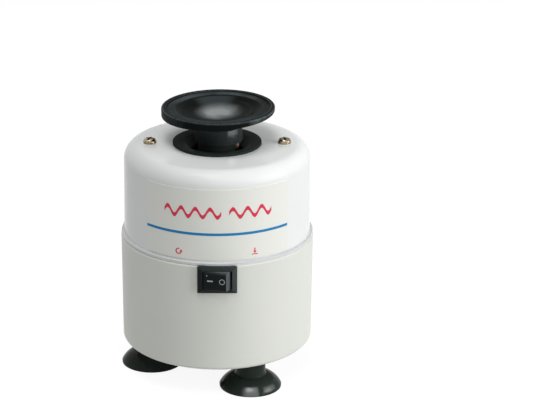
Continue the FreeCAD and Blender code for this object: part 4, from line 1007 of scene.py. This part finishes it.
# %% [markdown]
# ## The rocker
# The rocker's side view is drawn flat as one face and pulled up to its height. Its ends are rounded about
# the pivot, so that they pass the bezel's window closely. The long edges of its front are cut off as wide
# flat bevels, then every edge gets a small soft one. At last it is tipped about its pivot, with the left
# end pressed in, as in the photograph.

# %% Make the rocker
PIVOT_Y = -51.0
FACE_DEEP = 6.2
ROCKER_SIDE = ((6.15, FACE_DEEP), (7.3, 2.4), (7.6, 1.2), (7.68, 0.0), (7.57, -1.3), (1.2, -2.6))
ROCKER_TALL = 10.5
ROCKER_TIP = math.radians(-12.0)
PIVOT = Vector((0.0, PIVOT_Y * MM, 0.0))
LEVEL_WITHIN = 0.01 * MM


def tip(bm):
    bmesh.ops.rotate(bm, cent=PIVOT, matrix=Matrix.Rotation(ROCKER_TIP, 3, "Z"), verts=bm.verts)


bm = bmesh.new()
side = ROCKER_SIDE + tuple((-x, depth) for x, depth in reversed(ROCKER_SIDE))
base_z = SWITCH_Z - ROCKER_TALL / 2
ring = [bm.verts.new(Vector((x, PIVOT_Y - depth, base_z)) * MM) for x, depth in side]
raised = pull(bm, [bm.faces.new(ring)])
bmesh.ops.translate(bm, vec=(0.0, 0.0, ROCKER_TALL * MM), verts=raised)
bmesh.ops.recalc_face_normals(bm, faces=bm.faces)
face_y = (PIVOT_Y - FACE_DEEP + 0.1) * MM
front = [edge for edge in bm.edges if all(vert.co.y < face_y for vert in edge.verts)]
level = [edge for edge in front if abs(edge.verts[0].co.z - edge.verts[1].co.z) < LEVEL_WITHIN]
soften(bm, level, width=0.9, steps=1)
soften(bm, corners_before(bm, PIVOT_Y - 1.0), width=0.14, steps=3)
tip(bm)
add_piece("rocker_cap", bm, rocker_black, "rocker", ["switch_rocker"])

# %% [markdown]
# ## Marks on the rocker
# The bar and the ring on the rocker are the usual signs for on and off, printed in white, with a small
# white dot in one corner. They are flat shapes just in front of the rocker's face, tipped with it.

# %% Print the marks
rocker_white = ink("rocker_white", (0.34, 0.36, 0.37), (0.44, 0.46, 0.47))
MARK_Z = SWITCH_Z + 0.4
DOT_Z = SWITCH_Z + 3.35
DOT_R = 0.3


def print_on_rocker(name, bm, x, z):
    """Sets flat ink on the rocker's face."""
    thicken(bm)
    bmesh.ops.translate(bm, vec=Vector((x, PIVOT_Y - FACE_DEEP + INK_SINK, z)) * MM, verts=bm.verts)
    tip(bm)
    add_piece(name, bm, rocker_white, "rocker")


bm = bmesh.new()
flat_bar(bm, x=0.0, z=0.0, wide=3.1, tall=0.75)
print_on_rocker("rocker_mark_on", bm, -2.6, MARK_Z)

bm = bmesh.new()
flat_ring(bm, inner=1.2, outer=1.55, angle=360.0, steps=48)
print_on_rocker("rocker_mark_off", bm, 3.9, MARK_Z)

bm = bmesh.new()
dot = bmesh.ops.create_circle(bm, cap_ends=True, segments=24, radius=DOT_R * MM)
bmesh.ops.rotate(bm, cent=(0, 0, 0), matrix=Matrix.Rotation(math.pi / 2, 3, "X"), verts=dot["verts"])
print_on_rocker("rocker_mark_dot", bm, -4.3, DOT_Z)
